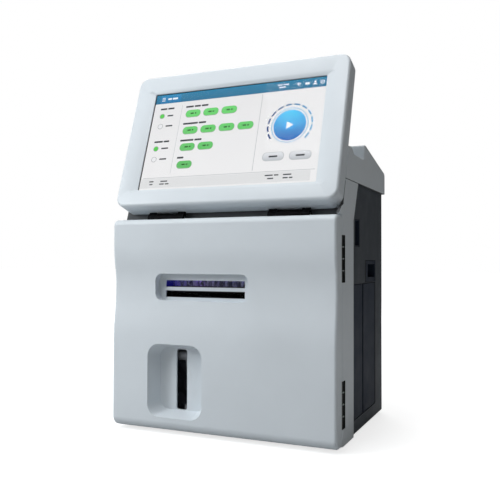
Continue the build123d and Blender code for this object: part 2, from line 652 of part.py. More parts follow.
def door_sweep_relief():
    """Front right corner cut round about the hinge axis, so that the door's rear edge clears it."""
    reach = HINGE_AXIS_DEPTH - DOOR_DEPTH - 0.35
    corner = block((HINGE_AXIS_X, HALF_WIDTH + 1), (0, HINGE_AXIS_DEPTH), (-1, SHELF_HEIGHT))
    return corner - rod_z(reach, HINGE_AXIS_X, HINGE_AXIS_DEPTH, (-2, SHELF_HEIGHT + 1))


def cover_points(inward):
    """Cover section, with its front edge this far behind the head's face, and its corner radii."""
    foot = SEAM_HEIGHT + SEAM_GAP / 2
    points = [(head_line_depth(inward, foot), foot)]
    points.append((head_line_depth(inward, COVER_PEAK_HEIGHT), COVER_PEAK_HEIGHT))
    points += [(depth, height) for depth, height, _ in COVER_PROFILE]
    points.append((BODY_DEPTH, COVER_REAR_HEIGHT))
    points.append((BODY_DEPTH, foot))
    radii = [0.0, 3.0] + [radius for _, _, radius in COVER_PROFILE] + [5.0, 0.0]
    return points, radii


def top_cover():
    points, radii = cover_points(CHEEK_DEPTH)
    cover = side_prism(points, (-HALF_WIDTH, HALF_WIDTH), radii)
    rim = [
        edge
        for edge in cover.edges()
        if abs(abs(edge.center().X) - HALF_WIDTH) < 0.01 and edge.center().Z > at_height(SEAM_HEIGHT + 3)
    ]
    cover = chamfer(rim, COVER_RIM_CHAMFER)
    nest = [(0.0, 250.0), (head_line_depth(HEAD_NEST_DEPTH, 250.0), 250.0)]
    nest += [(head_line_depth(HEAD_NEST_DEPTH, 350.0), 350.0), (0.0, 350.0)]
    nest_half = HALF_WIDTH - 2.5
    cover -= side_prism(nest, (-nest_half, nest_half))
    inner_points, inner_radii = cover_points(HEAD_NEST_DEPTH)
    section = offset(side_face(inner_points, inner_radii), -SHELL_WALL, kind=Kind.INTERSECTION)
    half = HALF_WIDTH - SHELL_WALL
    hollow = extrude(Pos(-half, 0, 0) * section, amount=2 * half, dir=(1, 0, 0))
    foot = SEAM_HEIGHT - 2
    depth = (head_line_depth(HEAD_NEST_DEPTH, foot) + 4.5, BODY_DEPTH - SHELL_WALL)
    hollow += block((-half, half), depth, (foot, foot + 8))
    return cover - hollow


def panel_hole(box, margin, x):
    depth = (box[0] - margin, box[1] + margin)
    height = (box[2] - margin, box[3] + margin)
    return block(x, depth, height)


def side_panel(side):
    inner = HALF_WIDTH - PANEL_INSET - SHEET
    outer = HALF_WIDTH - PANEL_INSET
    panel = block((inner, outer), (PANEL_FRONT, PANEL_REAR), (0, SEAM_HEIGHT + COVER_OVERLAP))
    flange = (PANEL_REAR - 4.0, PANEL_REAR - SHEET - SEAT_GAP)
    panel += block((inner - 12, inner), flange, (TRAY_FLANGE + 1, SEAM_HEIGHT - 4))
    for x, height in rear_screw_places():
        panel -= front_slab(screw_hole(), abs(x), height, (flange[0] - 1, flange[1] + 1))
    panel += block((inner - 10, inner), (PANEL_FRONT + 10, PANEL_REAR - 4), (SEAM_HEIGHT, SEAM_HEIGHT + 1.5))
    if side < 0:
        for row in range(9):
            height = 60.0 + row * 9.0
            panel -= block((inner - 1, outer + 1), (120, 190), (height, height + 3.5))
        return mirror(panel, Plane.YZ)
    through = (inner - 1, outer + 1)
    for box in (PORT_BOX, PULL_BOX, COVER_PLATE_BOX, HATCH_BOX):
        panel -= panel_hole(box, 0.0, through)
    mullion = (COVER_PLATE_BOX[1], HATCH_BOX[0])
    panel -= block((outer - 1.0, outer + 1), mullion, (COVER_PLATE_BOX[2], COVER_PLATE_BOX[3]))
    for depth in ((mullion[1] - 2.3, mullion[1]), (HATCH_BOX[1], HATCH_BOX[1] + 3.5)):
        panel += block((inner - 4, outer - 1.0), depth, (HATCH_AXIS_HEIGHT - 5, HATCH_AXIS_HEIGHT + 5))
    depth = (mullion[1] - 2.5, HATCH_BOX[1] + 2.5)
    return panel - rod_y(HATCH_PIN_RADIUS + RUN_GAP, HATCH_AXIS_X, depth, HATCH_AXIS_HEIGHT)


def cover_plate():
    """Fixed lower front plate of the right side, clipped into its opening."""
    outer = HALF_WIDTH - PANEL_INSET
    plate = panel_hole(COVER_PLATE_BOX, -SEAM_GAP, (outer - SHEET, outer))
    plate += panel_hole(COVER_PLATE_BOX, 1.2, (outer - SHEET - 1.5, outer - SHEET))
    return plate


def side_hatch():
    outer = HALF_WIDTH - PANEL_INSET
    depth = (HATCH_BOX[0] + SEAM_GAP, HATCH_BOX[1] - SEAM_GAP)
    hatch = block((outer - HATCH_THICK, outer), depth, (HATCH_AXIS_HEIGHT, HATCH_BOX[3] - SEAM_GAP))
    hatch += rod_y(HATCH_NOSE_RADIUS, HATCH_AXIS_X, depth, HATCH_AXIS_HEIGHT)
    for at in (depth[0] + 6, depth[1] - 8):
        hatch += block((outer - HATCH_THICK - 2.5, outer - HATCH_THICK), (at, at + 2), (26, 160))
    trunnion = (HATCH_BOX[0] - 2.1, HATCH_BOX[1] + 2.2)
    return hatch + rod_y(HATCH_PIN_RADIUS, HATCH_AXIS_X, trunnion, HATCH_AXIS_HEIGHT)


def recess_cup(box, cavity, floor_x):
    """Cup moulded behind a panel opening, with a flush rim and an open cavity."""
    outer = HALF_WIDTH - PANEL_INSET
    rim = panel_hole(box, -SEAM_GAP / 2, (outer - SHEET, outer - 0.4))
    flange = panel_hole(box, 2.5, (outer - SHEET - 1.5, outer - SHEET))
    tub = panel_hole(cavity, 1.5, (floor_x - 1.5, outer - SHEET))
    cup = rim + flange + tub - panel_hole(HATCH_BOX, 0.2, (floor_x, outer + 1))
    return cup - panel_hole(cavity, 0.0, (floor_x, outer + 1))


def usb_ports():
    inner = HALF_WIDTH - PANEL_INSET - 12.0
    depth = (PORT_BOX[0] + PORT_BOX[1]) / 2
    ports = []
    for height in PORT_HEIGHTS:
        shell = side_slab(Rectangle(PORT_WIDTH, PORT_HEIGHT), depth, height, (inner - 9, inner + 4))
        mouth = Rectangle(PORT_WIDTH - 2 * PORT_WALL, PORT_HEIGHT - 2 * PORT_WALL)
        shell -= side_slab(mouth, depth, height, (inner - 7, inner + 5))
        shell += side_slab(Pos(0, 0.9) * Rectangle(11.0, 1.9), depth, height, (inner - 9, inner + 3))
        ports.append(shell)
    return ports


def port_cup():
    outer = HALF_WIDTH - PANEL_INSET
    floor_x = outer - 12.0
    cavity = (PORT_BOX[0] + 1.6, PORT_BOX[1] - 1.6, PORT_BOX[2] + 1.6, PORT_BOX[3] - 1.6)
    cup = recess_cup(PORT_BOX, cavity, floor_x)
    for height in PORT_HEIGHTS:
        depth = (PORT_BOX[0] + PORT_BOX[1]) / 2
        cup -= side_slab(Rectangle(PORT_WIDTH, PORT_HEIGHT), depth, height, (floor_x - 3, floor_x + 1))
    return cup


def rear_panel():
    half = HALF_WIDTH - PANEL_INSET - SHEET - SEAT_GAP
    depth = (PANEL_REAR - SHEET, PANEL_REAR)
    cut = (PANEL_REAR - SHEET - 1, PANEL_REAR + 1)
    panel = block((-half, half), depth, (0, SEAM_HEIGHT + COVER_OVERLAP))
    for x, height, length in guard_slots():
        panel -= front_slab(Rectangle(length, GUARD_SLOT), x, height, cut)
    panel -= front_slab(Rectangle(28.2, 20.2), INLET_X, INLET_Z, cut)
    panel -= front_slab(Rectangle(13.4, 19.4), SWITCH_X, INLET_Z, cut)
    panel -= front_slab(Rectangle(16.4, 13.9), LAN_X, INLET_Z, cut)
    for row in range(7):
        height = 90.0 + row * 8.0
        panel -= front_slab(Rectangle(70.0, 3.2), 60.0, height, cut)
    for x, height in rear_screw_places():
        panel -= front_slab(screw_hole(), x, height, cut)
    return panel


def guard_slots():
    """Centre and length of the slots that make the fan's round guard, either side of its spine."""
    slots = []
    rows = int((FAN_BORE_RADIUS - GUARD_SLOT) / GUARD_PITCH)
    for row in range(-rows, rows + 1):
        rise = row * GUARD_PITCH
        reach = math.sqrt(FAN_BORE_RADIUS**2 - (abs(rise) + GUARD_SLOT / 2) ** 2)
        length = reach - GUARD_SPINE / 2
        for side in (-1, 1):
            slots.append((FAN_X + side * (GUARD_SPINE + length) / 2, FAN_Z + rise, length))
    return slots


def rear_screw_places():
    half = HALF_WIDTH - PANEL_INSET - SHEET - 6.0
    return [(side * half, height) for side in (-1, 1) for height in REAR_SCREW_HEIGHTS]


def rear_screws():
    screws = []
    for x, height in rear_screw_places():
        seat = Pos(x, at_depth(PANEL_REAR), at_height(height))
        screws.append(seat * Rot(90, 0, 0) * plain_screw(4))
    return screws


def base_tray():
    half = HALF_WIDTH - PANEL_INSET - SHEET - SEAT_GAP
    depth = (FRAME_REAR + 0.4, PANEL_REAR - SHEET - SEAT_GAP)
    tray = block((-half, half), depth, (0, TRAY_FLANGE))
    tray -= block((-half + SHEET, half - SHEET), (depth[0] - 1, depth[1] - SHEET), (SHEET, 20))
    for column in range(8):
        x = -98.0 + column * 10.0
        tray -= block((x, x + 4), (100, 112), (-1, 5))
    return tray


def feet():
    pads = []
    for x in (-108.0, 108.0):
        for depth in (38.0, 198.0):
            base = Pos(x, at_depth(depth), 0)
            pad = base * Cone(7.5, 9.0, FOOT_HEIGHT, align=(Align.CENTER, Align.CENTER, Align.MIN))
            pads.append(pad)
    return pads


# ---- inside ------------------------------------------------------------------------------
def bulkhead():
    depth = (BULKHEAD_DEPTH, BULKHEAD_DEPTH + 1.5)
    half = HALF_WIDTH - PANEL_INSET - SHEET - 3.0
    plate = block((-half, half), depth, (SHEET, 280))
    plate += block((-half + 6, half - 6), (depth[0], depth[0] + 14), (SHEET, SHEET + 1.5))
    cut = (depth[0] - 1, depth[1] + 1)
    plate -= rod_y(PUMP_SHAFT_RADIUS + 2.5, PUMP_X, cut, PUMP_Z)
    plate -= front_slab(SlotOverall(40, 12), -20, 120, cut)
    plate -= front_slab(SlotOverall(50, 12), 20, 222, cut)
    return plate


def sensor_span(margin):
    return (SENSOR_BOX[0] + margin, SENSOR_BOX[1] - margin)


def sensor_housing():
    housing = block(sensor_span(0), (SENSOR_FRONT, BULKHEAD_DEPTH), SENSOR_BOX[2:])
    front_edges = housing.faces().sort_by(Axis.Y)[0].edges()
    housing = chamfer(front_edges, 1.5)
    housing -= block(sensor_span(7), (SENSOR_FRONT - 1, SENSOR_FRONT + 14), (162.5, 176.0))
    housing -= block(sensor_span(7), (SENSOR_FRONT - 1, SENSOR_FRONT + 5), (152.0, 159.5))
    for column in range(14):
        x = SENSOR_BOX[0] + 10 + column * 8.0
        housing -= block((x, x + 4), (SENSOR_FRONT + 12, 58), (SENSOR_BOX[3] - 3, SENSOR_BOX[3] + 1))
    return housing


def sensor_electrodes():
    """Row of sensor bodies seated in the block's channel, each with a narrower nose."""
    back = SENSOR_FRONT + 14
    pitch = SLOT_WIDTH / ELECTRODE_COUNT
    bodies = []
    for n in range(ELECTRODE_COUNT):
        x = WINDOW_X + (n - (ELECTRODE_COUNT - 1) / 2) * pitch
        body = electrode_step(x, ELECTRODE_WIDTH, (back - 8, back))
        bodies.append(body + electrode_step(x, 0.55 * ELECTRODE_WIDTH, (back - 9.5, back - 8)))
    return bodies


def electrode_step(x, width, depth):
    half = width / 2
    return block((x - half, x + half), depth, (ELECTRODE_Z - half, ELECTRODE_Z + half))


def sensor_lamp():
    return block(sensor_span(9), (SENSOR_FRONT + 2, SENSOR_FRONT + 6), (174.6, 176.0))


def flow_cell():
    low = SENSOR_FRONT + 1.0
    cell = block(sensor_span(7.3), (low, low + 2.5), (152.3, 159.2))
    return cell - rod_x(0.8, sensor_span(6), low + 1.25, 155.8)


def pump_housing():
    depth = (PUMP_FRONT, BULKHEAD_DEPTH)
    body = front_slab(Rectangle(54, 58), PUMP_X, PUMP_Z, depth)
    body -= rod_y(PUMP_CAVITY_RADIUS, PUMP_X, (PUMP_FRONT - 1, PUMP_FRONT + 16), PUMP_Z)
    for side in (-1, 1):
        x = PUMP_X + side * (PUMP_CAVITY_RADIUS - 2.1)
        body -= block((x - 2.4, x + 2.4), (PUMP_FRONT - 1, PUMP_FRONT + 12), (PUMP_Z - 40, PUMP_Z))
    return body - rod_y(PUMP_SHAFT_RADIUS + 1.0, PUMP_X, depth, PUMP_Z)


def pump_rotor():
    depth = (PUMP_FRONT + 2, PUMP_FRONT + 14)
    rotor = rod_y(PUMP_ROTOR_RADIUS, PUMP_X, depth, PUMP_Z)
    rotor += rod_y(PUMP_ROLLER_ORBIT + 2.5, PUMP_X, (depth[0], depth[0] + 2), PUMP_Z)
    for x, height in roller_places():
        rotor -= rod_y(PUMP_ROLLER_RADIUS + 0.3, x, (depth[0] + 2, depth[1] - 2), height)
        rotor += rod_y(1.2, x, depth, height)
    rotor -= rod_y(PUMP_SHAFT_RADIUS, PUMP_X, (depth[0] - 1, depth[1] + 1), PUMP_Z)
    return rotor


def roller_places():
    places = []
    for n in range(PUMP_ROLLERS):
        angle = math.radians(90 + n * 360 / PUMP_ROLLERS)
        places.append((
            PUMP_X + PUMP_ROLLER_ORBIT * math.cos(angle),
            PUMP_Z + PUMP_ROLLER_ORBIT * math.sin(angle),
        ))
    return places


def pump_rollers():
    depth = (PUMP_FRONT + 4.2, PUMP_FRONT + 11.8)
    rollers = []
    for x, height in roller_places():
        roller = rod_y(PUMP_ROLLER_RADIUS, x, depth, height)
        rollers.append(roller - rod_y(1.2 + RUN_GAP, x, depth, height))
    return rollers


def pump_shaft():
    return rod_y(PUMP_SHAFT_RADIUS, PUMP_X, (PUMP_FRONT + 2, BULKHEAD_DEPTH + 14), PUMP_Z)


def pump_motor():
    start = BULKHEAD_DEPTH + 1.5
    motor = rod_y(17.5, PUMP_X, (start, start + 34), PUMP_Z)
    motor += front_slab(Rectangle(42, 42), PUMP_X, PUMP_Z, (start, start + 3))
    bore = rod_y(PUMP_SHAFT_RADIUS + RUN_GAP, PUMP_X, (start - 1, BULKHEAD_DEPTH + 15), PUMP_Z)
    return motor - bore


def pump_tube():
    """Soft tube laid round the upper half of the pump's track, with its two tails hanging."""
    orbit = PUMP_CAVITY_RADIUS - PUMP_TUBE_RADIUS - 0.1
    middle = at_depth(PUMP_FRONT + 8)
    centre = at_height(PUMP_Z)
    tail = 36.0
    start = Vector(PUMP_X - orbit, middle, centre - tail)
    left = Vector(PUMP_X - orbit, middle, centre)
    top = Vector(PUMP_X, middle, centre + orbit)
    right = Vector(PUMP_X + orbit, middle, centre)
    end = Vector(PUMP_X + orbit, middle, centre - tail)
    path = Line(start, left) + ThreePointArc(left, top, right) + Line(right, end)
    section = Plane(origin=start, z_dir=(0, 0, 1)) * RegularPolygon(PUMP_TUBE_RADIUS, 10)
    return sweep(section, path=path)


def probe_bracket():
    """Fork on the bulkhead that carries the sampling probe's pivot."""
    height = (PROBE_AXIS_HEIGHT - 9, PROBE_AXIS_HEIGHT + 9)
    fork = block((PROBE_X - 12, PROBE_X + 9), (46, BULKHEAD_DEPTH), height)
    for x in ((PROBE_X - 12, PROBE_X - 9), (PROBE_X + 6, PROBE_X + 9)):
        ear = block(x, (PROBE_AXIS_DEPTH, 47), (PROBE_AXIS_HEIGHT - 6, PROBE_AXIS_HEIGHT + 6))
        ear += rod_x(6.0, x, PROBE_AXIS_DEPTH, PROBE_AXIS_HEIGHT)
        fork += ear
    bore = rod_x(PROBE_PIN_RADIUS, (PROBE_X - 13, PROBE_X + 10), PROBE_AXIS_DEPTH, PROBE_AXIS_HEIGHT)
    return fork - bore


def probe_pin():
    return rod_x(PROBE_PIN_RADIUS, (PROBE_X - 12, PROBE_X + 9), PROBE_AXIS_DEPTH, PROBE_AXIS_HEIGHT)


def probe_carrier():
    """Swinging hub and short arm that hold the needle."""
    x = (PROBE_X - 8.5, PROBE_X + 5.5)
    hub = rod_x(PROBE_HUB_RADIUS, x, PROBE_AXIS_DEPTH, PROBE_AXIS_HEIGHT)
    low = PROBE_AXIS_HEIGHT - 15.0
    arm_depth = (PROBE_AXIS_DEPTH - 3, PROBE_AXIS_DEPTH + 3)
    hub += block((PROBE_X - 3, PROBE_X + 3), arm_depth, (low, PROBE_AXIS_HEIGHT))
    bore = PROBE_PIN_RADIUS + RUN_GAP
    hub -= rod_x(bore, (x[0] - 1, x[1] + 1), PROBE_AXIS_DEPTH, PROBE_AXIS_HEIGHT)
    return hub - rod_z(PROBE_RADIUS, PROBE_X, PROBE_AXIS_DEPTH, (low - 1, low + 8))


def sample_probe():
    low = PROBE_AXIS_HEIGHT - PROBE_LENGTH
    top = PROBE_AXIS_HEIGHT - 15.0 + 8.0
    needle = rod_z(PROBE_RADIUS, PROBE_X, PROBE_AXIS_DEPTH, (low + 3, top))
    tip = Pos(PROBE_X, at_depth(PROBE_AXIS_DEPTH), at_height(low))
    cone = Cone(0.35, PROBE_RADIUS, 3, align=(Align.CENTER, Align.CENTER, Align.MIN))
    return needle + tip * cone


def wash_cup():
    """Cup that catches the rinse under the parked needle, on a bracket from the bulkhead."""
    low, high = 8.0, PROBE_AXIS_HEIGHT - PROBE_LENGTH - 1.5
    cup = rod_z(5.5, PROBE_X, PROBE_AXIS_DEPTH, (low, high))
    cup += block((PROBE_X - 5, PROBE_X + 5), (PROBE_AXIS_DEPTH, BULKHEAD_DEPTH), (low, low + 3))
    return cup - rod_z(3.8, PROBE_X, PROBE_AXIS_DEPTH, (low + 3, high + 1))


def pack_bay():
    x = (36.0, 128.0)
    depth = (HATCH_BOX[0] - 0.5, HATCH_BOX[1] - 0.5)
    bay = block(x, depth, (SHEET, 60))
    bay -= block((x[0] + 2, x[1] + 1), (depth[0] + 2, depth[1] - 2), (SHEET + 2, 61))
    return bay


def reagent_pack():
    depth = (HATCH_BOX[0] + 1.8, HATCH_BOX[1] - 2.8)
    pack = block((38.3, 126.0), depth, (SHEET + 2, 158))
    pack = fillet(pack.edges().filter_by(Axis.Z), 3.0)
    grip = block((120, 127), (depth[0] + 12, depth[1] - 12), (132, 148))
    return pack - grip


def power_supply():
    box = block((-124.0, -36.0), (118.0, 206.0), (SHEET, 50.0))
    for column in range(9):
        x = -116.0 + column * 9.0
        box -= block((x, x + 4), (130, 194), (48.0, 51.0))
    return box


def main_board():
    depth = BULKHEAD_DEPTH + 1.5
    board = block((-122, 34), (depth + 6, depth + 7.6), (92, 214))
    for x in (-116, 28):
        for height in (98, 208):
            board += block((x - 3, x + 3), (depth, depth + 6), (height - 3, height + 3))
    board += block((-80, -52), (depth + 7.6, depth + 12), (140, 168))
    for column in range(4):
        x = -30.0 + column * 14
        board += block((x, x + 9), (depth + 7.6, depth + 10), (150, 162))
    for column in range(5):
        x = -110.0 + column * 26
        board += block((x, x + 18), (depth + 7.6, depth + 15), (98, 106))
    return board


def power_inlet():
    depth = (PANEL_REAR - 20, PANEL_REAR)
    inlet = front_slab(Rectangle(27.8, 19.8), INLET_X, INLET_Z, depth)
    inlet += front_slab(RectangleRounded(50, 24, 5), INLET_X, INLET_Z, (PANEL_REAR, PANEL_REAR + 2.5))
    inlet -= front_slab(RectangleRounded(24.6, 16.8, 3), INLET_X, INLET_Z, (PANEL_REAR - 15, PANEL_REAR + 4))
    for x in (-7, 0, 7):
        pin = Rectangle(2.0, 4.0)
        inlet += front_slab(pin, INLET_X + x, INLET_Z - 3.6, (PANEL_REAR - 16, PANEL_REAR - 1))
    return inlet


def switch_body():
    depth = (PANEL_REAR - 14, PANEL_REAR)
    body = front_slab(Rectangle(13.0, 19.0), SWITCH_X, INLET_Z, depth)
    body += front_slab(Rectangle(15.0, 21.0), SWITCH_X, INLET_Z, (PANEL_REAR, PANEL_REAR + 1.5))
    body -= front_slab(Rectangle(10.6, 17.0), SWITCH_X, INLET_Z, (PANEL_REAR - 9, PANEL_REAR + 3))
    return body - rod_x(1.0, (SWITCH_X - 6.0, SWITCH_X + 6.0), PANEL_REAR - 3.5, INLET_Z)


def switch_rocker():
    """Rocker shown with its lower half pressed in; its pivot pegs run along X."""
    x = (SWITCH_X - 5.0, SWITCH_X + 5.0)
    pivot_depth = PANEL_REAR - 3.5
    outline = [(-4.0, -7.4), (3.4, -7.6), (2.6, 0.0), (3.4, 7.6), (-4.0, 7.4)]
    tilt = math.radians(9.0)
    points = []
    for out, up in outline:
        depth = pivot_depth + out * math.cos(tilt) + up * math.sin(tilt)
        height = INLET_Z - out * math.sin(tilt) + up * math.cos(tilt)
        points.append((depth, height))
    rocker = side_prism(points, x)
    return rocker + rod_x(1.0 - RUN_GAP, (SWITCH_X - 5.8, SWITCH_X + 5.8), pivot_depth, INLET_Z)


def network_port():
    depth = (PANEL_REAR - 16, PANEL_REAR)
    port = front_slab(Rectangle(16.0, 13.5), LAN_X, INLET_Z, depth)
    port -= front_slab(Rectangle(12.0, 7.5), LAN_X, INLET_Z + 1.2, (PANEL_REAR - 12, PANEL_REAR + 1))
    port -= front_slab(Rectangle(6.0, 3.0), LAN_X, INLET_Z - 3.4, (PANEL_REAR - 12, PANEL_REAR + 1))
    return port


def fan_frame():
    depth = (PANEL_REAR - SHEET - FAN_THICK, PANEL_REAR - SHEET)
    frame = front_slab(Rectangle(FAN_SIZE, FAN_SIZE), FAN_X, FAN_Z, depth)
    frame -= rod_y(FAN_BORE_RADIUS, FAN_X, (depth[0] - 1, depth[1] + 1), FAN_Z)
    frame += rod_y(10.0, FAN_X, (depth[0], depth[0] + 2), FAN_Z)
    for n in range(3):
        bar = Pos(FAN_BORE_RADIUS / 2 + 0.5, 0) * Rectangle(FAN_BORE_RADIUS + 1, 3)
        strut = Rot(0, 0, 30 + n * 120) * bar
        frame += front_slab(strut, FAN_X, FAN_Z, (depth[0], depth[0] + 2))
    return frame - rod_y(1.5 + RUN_GAP, FAN_X, (depth[0] - 1, depth[0] + 3), FAN_Z)


def fan_rotor():
    start = PANEL_REAR - SHEET - FAN_THICK + 2.5
    rotor = rod_y(10.0, FAN_X, (start, start + 11), FAN_Z)
    rotor += rod_y(1.5, FAN_X, (start - 2.4, start), FAN_Z)
    for n in range(7):
        blade = Pos(17.5, 0, 0) * Rot(40, 0, 0) * Box(17.0, 13.0, 1.2)
        turned = Rot(0, n * 360 / 7, 0) * Rot(90, 0, 0) * blade
        rotor += Pos(FAN_X, at_depth(start + 5.5), at_height(FAN_Z)) * turned
    return rotor


# ---- nodes -------------------------------------------------------------------------------
def head_nodes():
    place = head_place()
    local = {
        "head_bezel": [head_bezel()],
        "head_back_cover": [head_back()],
        "touch_glass": [touch_glass()],
        "lcd_panel": [lcd_panel()],
        "display_chassis": [display_chassis()],
        "display_board": [display_board()],
        "head_screws": head_screws(),
        "tilt_hinge_arms": tilt_hinge_arms(),
    }
    nodes = {name: [place * piece for piece in pieces] for name, pieces in local.items()}
    nodes["tilt_hinge_pins"] = tilt_hinge_pins()
    return nodes


def door_nodes():
    return {
        "door_shell": [door_shell()],
        "door_slot_lens": [slot_lens()],
        "door_hinge_arm_lower": [door_hinge_arm(HINGE_CENTRES[0])],
        "door_hinge_arm_upper": [door_hinge_arm(HINGE_CENTRES[1])],
        "door_magnets": door_magnets(),
    }


def shell_nodes():
    return {
        "front_frame": [front_frame()],
        "top_cover": [top_cover()],
        "side_panel_right": [side_panel(1)],
        "side_panel_left": [side_panel(-1)],
        "side_cover_plate": [cover_plate()],
        "side_hatch": [side_hatch()],
        "hatch_pull_cup": [recess_cup(PULL_BOX, PULL_CAVITY, HALF_WIDTH - PANEL_INSET - 13.0)],
        "port_cup": [port_cup()],
        "usb_ports": usb_ports(),
        "rear_panel": [rear_panel()],
        "rear_screws": rear_screws(),
        "base_tray": [base_tray()],
        "feet": feet(),
        "body_hinge_leaf_lower": [body_hinge_leaf(HINGE_CENTRES[0])],
        "body_hinge_leaf_upper": [body_hinge_leaf(HINGE_CENTRES[1])],
        "door_hinge_pins": door_hinge_pins(),
        "door_keeper_plates": keeper_plates(),
        "tilt_hinge_bases": tilt_hinge_bases(),
    }


def inside_nodes():
    return {
        "bulkhead": [bulkhead()],
        "sensor_housing": [sensor_housing()],
        "sensor_electrodes": sensor_electrodes(),
        "sensor_lamp": [sensor_lamp()],
        "flow_cell": [flow_cell()],
        "pump_housing": [pump_housing()],
        "pump_rotor": [pump_rotor()],
        "pump_rollers": pump_rollers(),
        "pump_shaft": [pump_shaft()],
        "pump_motor": [pump_motor()],
        "pump_tube": [pump_tube()],
        "probe_bracket": [probe_bracket()],
        "probe_pin": [probe_pin()],
        "probe_carrier": [probe_carrier()],
        "sample_probe": [sample_probe()],
        "wash_cup": [wash_cup()],
        "pack_bay": [pack_bay()],
        "reagent_pack": [reagent_pack()],
        "power_supply": [power_supply()],
        "main_board": [main_board()],
        "power_inlet": [power_inlet()],
        "switch_body": [switch_body()],
        "switch_rocker": [switch_rocker()],
        "network_port": [network_port()],
        "fan_frame": [fan_frame()],
        "fan_rotor": [fan_rotor()],
    }


def main():
    os.makedirs("parts", exist_ok=True)
    nodes = {**shell_nodes(), **inside_nodes(), **door_nodes(), **head_nodes()}
    for name, pieces in nodes.items():
        solids = [solid for piece in pieces for solid in piece.solids()]
        shape = solids[0] if len(solids) == 1 else Compound(children=solids)
        export_step(shape, f"parts/{name}.step")
        print(name, len(solids), round(sum(solid.volume for solid in solids)))


main()
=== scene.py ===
import math

import bmesh
import bpy
from mathutils import Matrix, Vector


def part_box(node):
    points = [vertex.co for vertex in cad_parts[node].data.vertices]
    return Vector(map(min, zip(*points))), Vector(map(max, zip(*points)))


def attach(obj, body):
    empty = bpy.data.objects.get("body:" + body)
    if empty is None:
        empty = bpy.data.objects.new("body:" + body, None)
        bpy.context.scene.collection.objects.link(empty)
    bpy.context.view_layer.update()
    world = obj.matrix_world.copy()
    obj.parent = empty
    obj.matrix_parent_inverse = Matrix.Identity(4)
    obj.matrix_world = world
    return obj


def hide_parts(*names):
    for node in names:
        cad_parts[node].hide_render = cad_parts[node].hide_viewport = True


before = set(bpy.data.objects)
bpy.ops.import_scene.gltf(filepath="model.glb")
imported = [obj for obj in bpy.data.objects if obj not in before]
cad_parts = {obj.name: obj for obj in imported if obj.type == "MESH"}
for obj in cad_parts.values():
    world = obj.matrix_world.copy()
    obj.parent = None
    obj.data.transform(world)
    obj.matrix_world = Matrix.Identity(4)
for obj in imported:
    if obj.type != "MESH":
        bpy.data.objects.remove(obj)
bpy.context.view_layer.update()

# ---- sizes, millimetres where a comment doesn't say metres -----------------------------------
MM = 0.001
BODY_DEPTH, FOOT_HEIGHT = 226.0, 4.0
HEAD_TILT = math.radians(18.45)
HEAD_DEPTH, HEAD_BASE = 2.44, 260.2

EDGE_SEGMENTS = 2
EDGE_ANGLE, SHARP_ANGLE = math.radians(40), math.radians(35)
SAME_POINT = 0.000002  # metres
POCKET_SHADE_MARGIN = Vector((0.003, 0.0035, 0.003))  # metres round a hinge leaf, where the frame's pocket gets painted shade
NECK_SHADE_BOX = (-0.1365, -0.108, 0.2505), (0.1376, -0.030, 0.275)  # corners of the box under the head, metres, where the frame and the cover get painted shade
SEAM_REACH = 0.0008  # metres above and below a parting line; the level faces there get painted shade

HINGE_MIDDLES, KNUCKLE_PITCH = (43.4, 197.8), 12.7  # heights of the door hinges' middles
SPACER_X, SPACER_DEPTH, SPACER_SIZE = 133.3, 28.2, (8.2, 3.2, 1.0)
PANEL_SHADE_STRIPS = (  # dark strips of painted shade along shadow lines; x and depth of the middle, thickness, width, height from and to
    (135.1, 180.6, 0.3, 2.2, 16.0, 169.5),  # along the hatch's rear edge
    (135.1, 131.3, 0.3, 2.2, 170.0, 196.9),  # along the finger pull's front edge
    (132.0, 120.2, 1.6, 4.4, 26.0, 171.0),  # behind the hatch's front edge
)

# ---- sensor row behind the door's window -----------------------------------------------------
WINDOW_SPAN = (-0.076, 0.027)  # ends along x, metres
SENSOR_TONES = (  # place along the row, colour
    (0.0, (0.02, 0.02, 0.20)),
    (0.10, (0.07, 0.06, 0.20)),
    (0.30, (0.09, 0.08, 0.15)),
    (0.38, (0.16, 0.11, 0.30)),
    (0.46, (0.09, 0.08, 0.14)),
    (1.0, (0.085, 0.09, 0.14)),
)
# strength of the sensors' painted glow
SENSOR_PAINTED_GLOW = 0.55
# painted glow on the black sensor block: its colour along the row, then the band of height that it
# covers
BLOCK_GLOW_TONES = ((0.0, (0.006, 0.006, 0.14)), (0.12, (0.012, 0.01, 0.07)), (0.2, (0.0, 0.0, 0.0)))
GLOW_HEIGHTS = (0.168, 0.182)  # heights between which the block's end has its painted glow, metres
GLOW_BAND = ((0.0, (0, 0, 0)), (0.15, (0.6, 0.6, 0.6)), (0.75, (0.6, 0.6, 0.6)), (1.0, (0, 0, 0)))

# ---- camera, as the photograph was taken, and light ------------------------------------------
CAMERA_PLACE = (0.32985, -0.76533, 0.19819)
CAMERA_YAW, CAMERA_PITCH, CAMERA_ROLL = 23.899, 1.044, 0.135
CAMERA_LENS, CAMERA_SENSOR, CAMERA_REACH = 47.407, 36.0, 60.0

LAMP_AIM = Vector((0, 0, 0.22))
LAMPS = (  # name, azimuth, elevation, distance, size, power, colour
    ("key_lamp", -10, 58, 1.6, 0.7, 10.5, (0.98, 0.99, 1.0)),
    ("left_lamp", -48, 22, 1.8, 0.7, 17.5, (0.95, 0.98, 1.0)),
    ("back_lamp", -160, 36, 2.0, 1.2, 18.0, (1.0, 1.0, 1.0)),
    ("top_lamp", -70, 80, 1.8, 0.7, 7.0, (1.0, 1.0, 1.0)),
    ("right_lamp", 104, 38, 2.0, 0.9, 3.2, (1.0, 0.99, 0.96)),
)
AMBIENT_TONE, AMBIENT_STRENGTH = (1.0, 0.99, 0.96), 0.10
FLOOR_SIZE, FLOOR_TONE = 12.0, (0.50, 0.505, 0.51)
FLOOR_GLOW = (0.74, 1.0)  # white that the floor shows under the object and beyond it
FLOOR_GLOW_REACH = (0.30, 1.6)  # metres from the middle

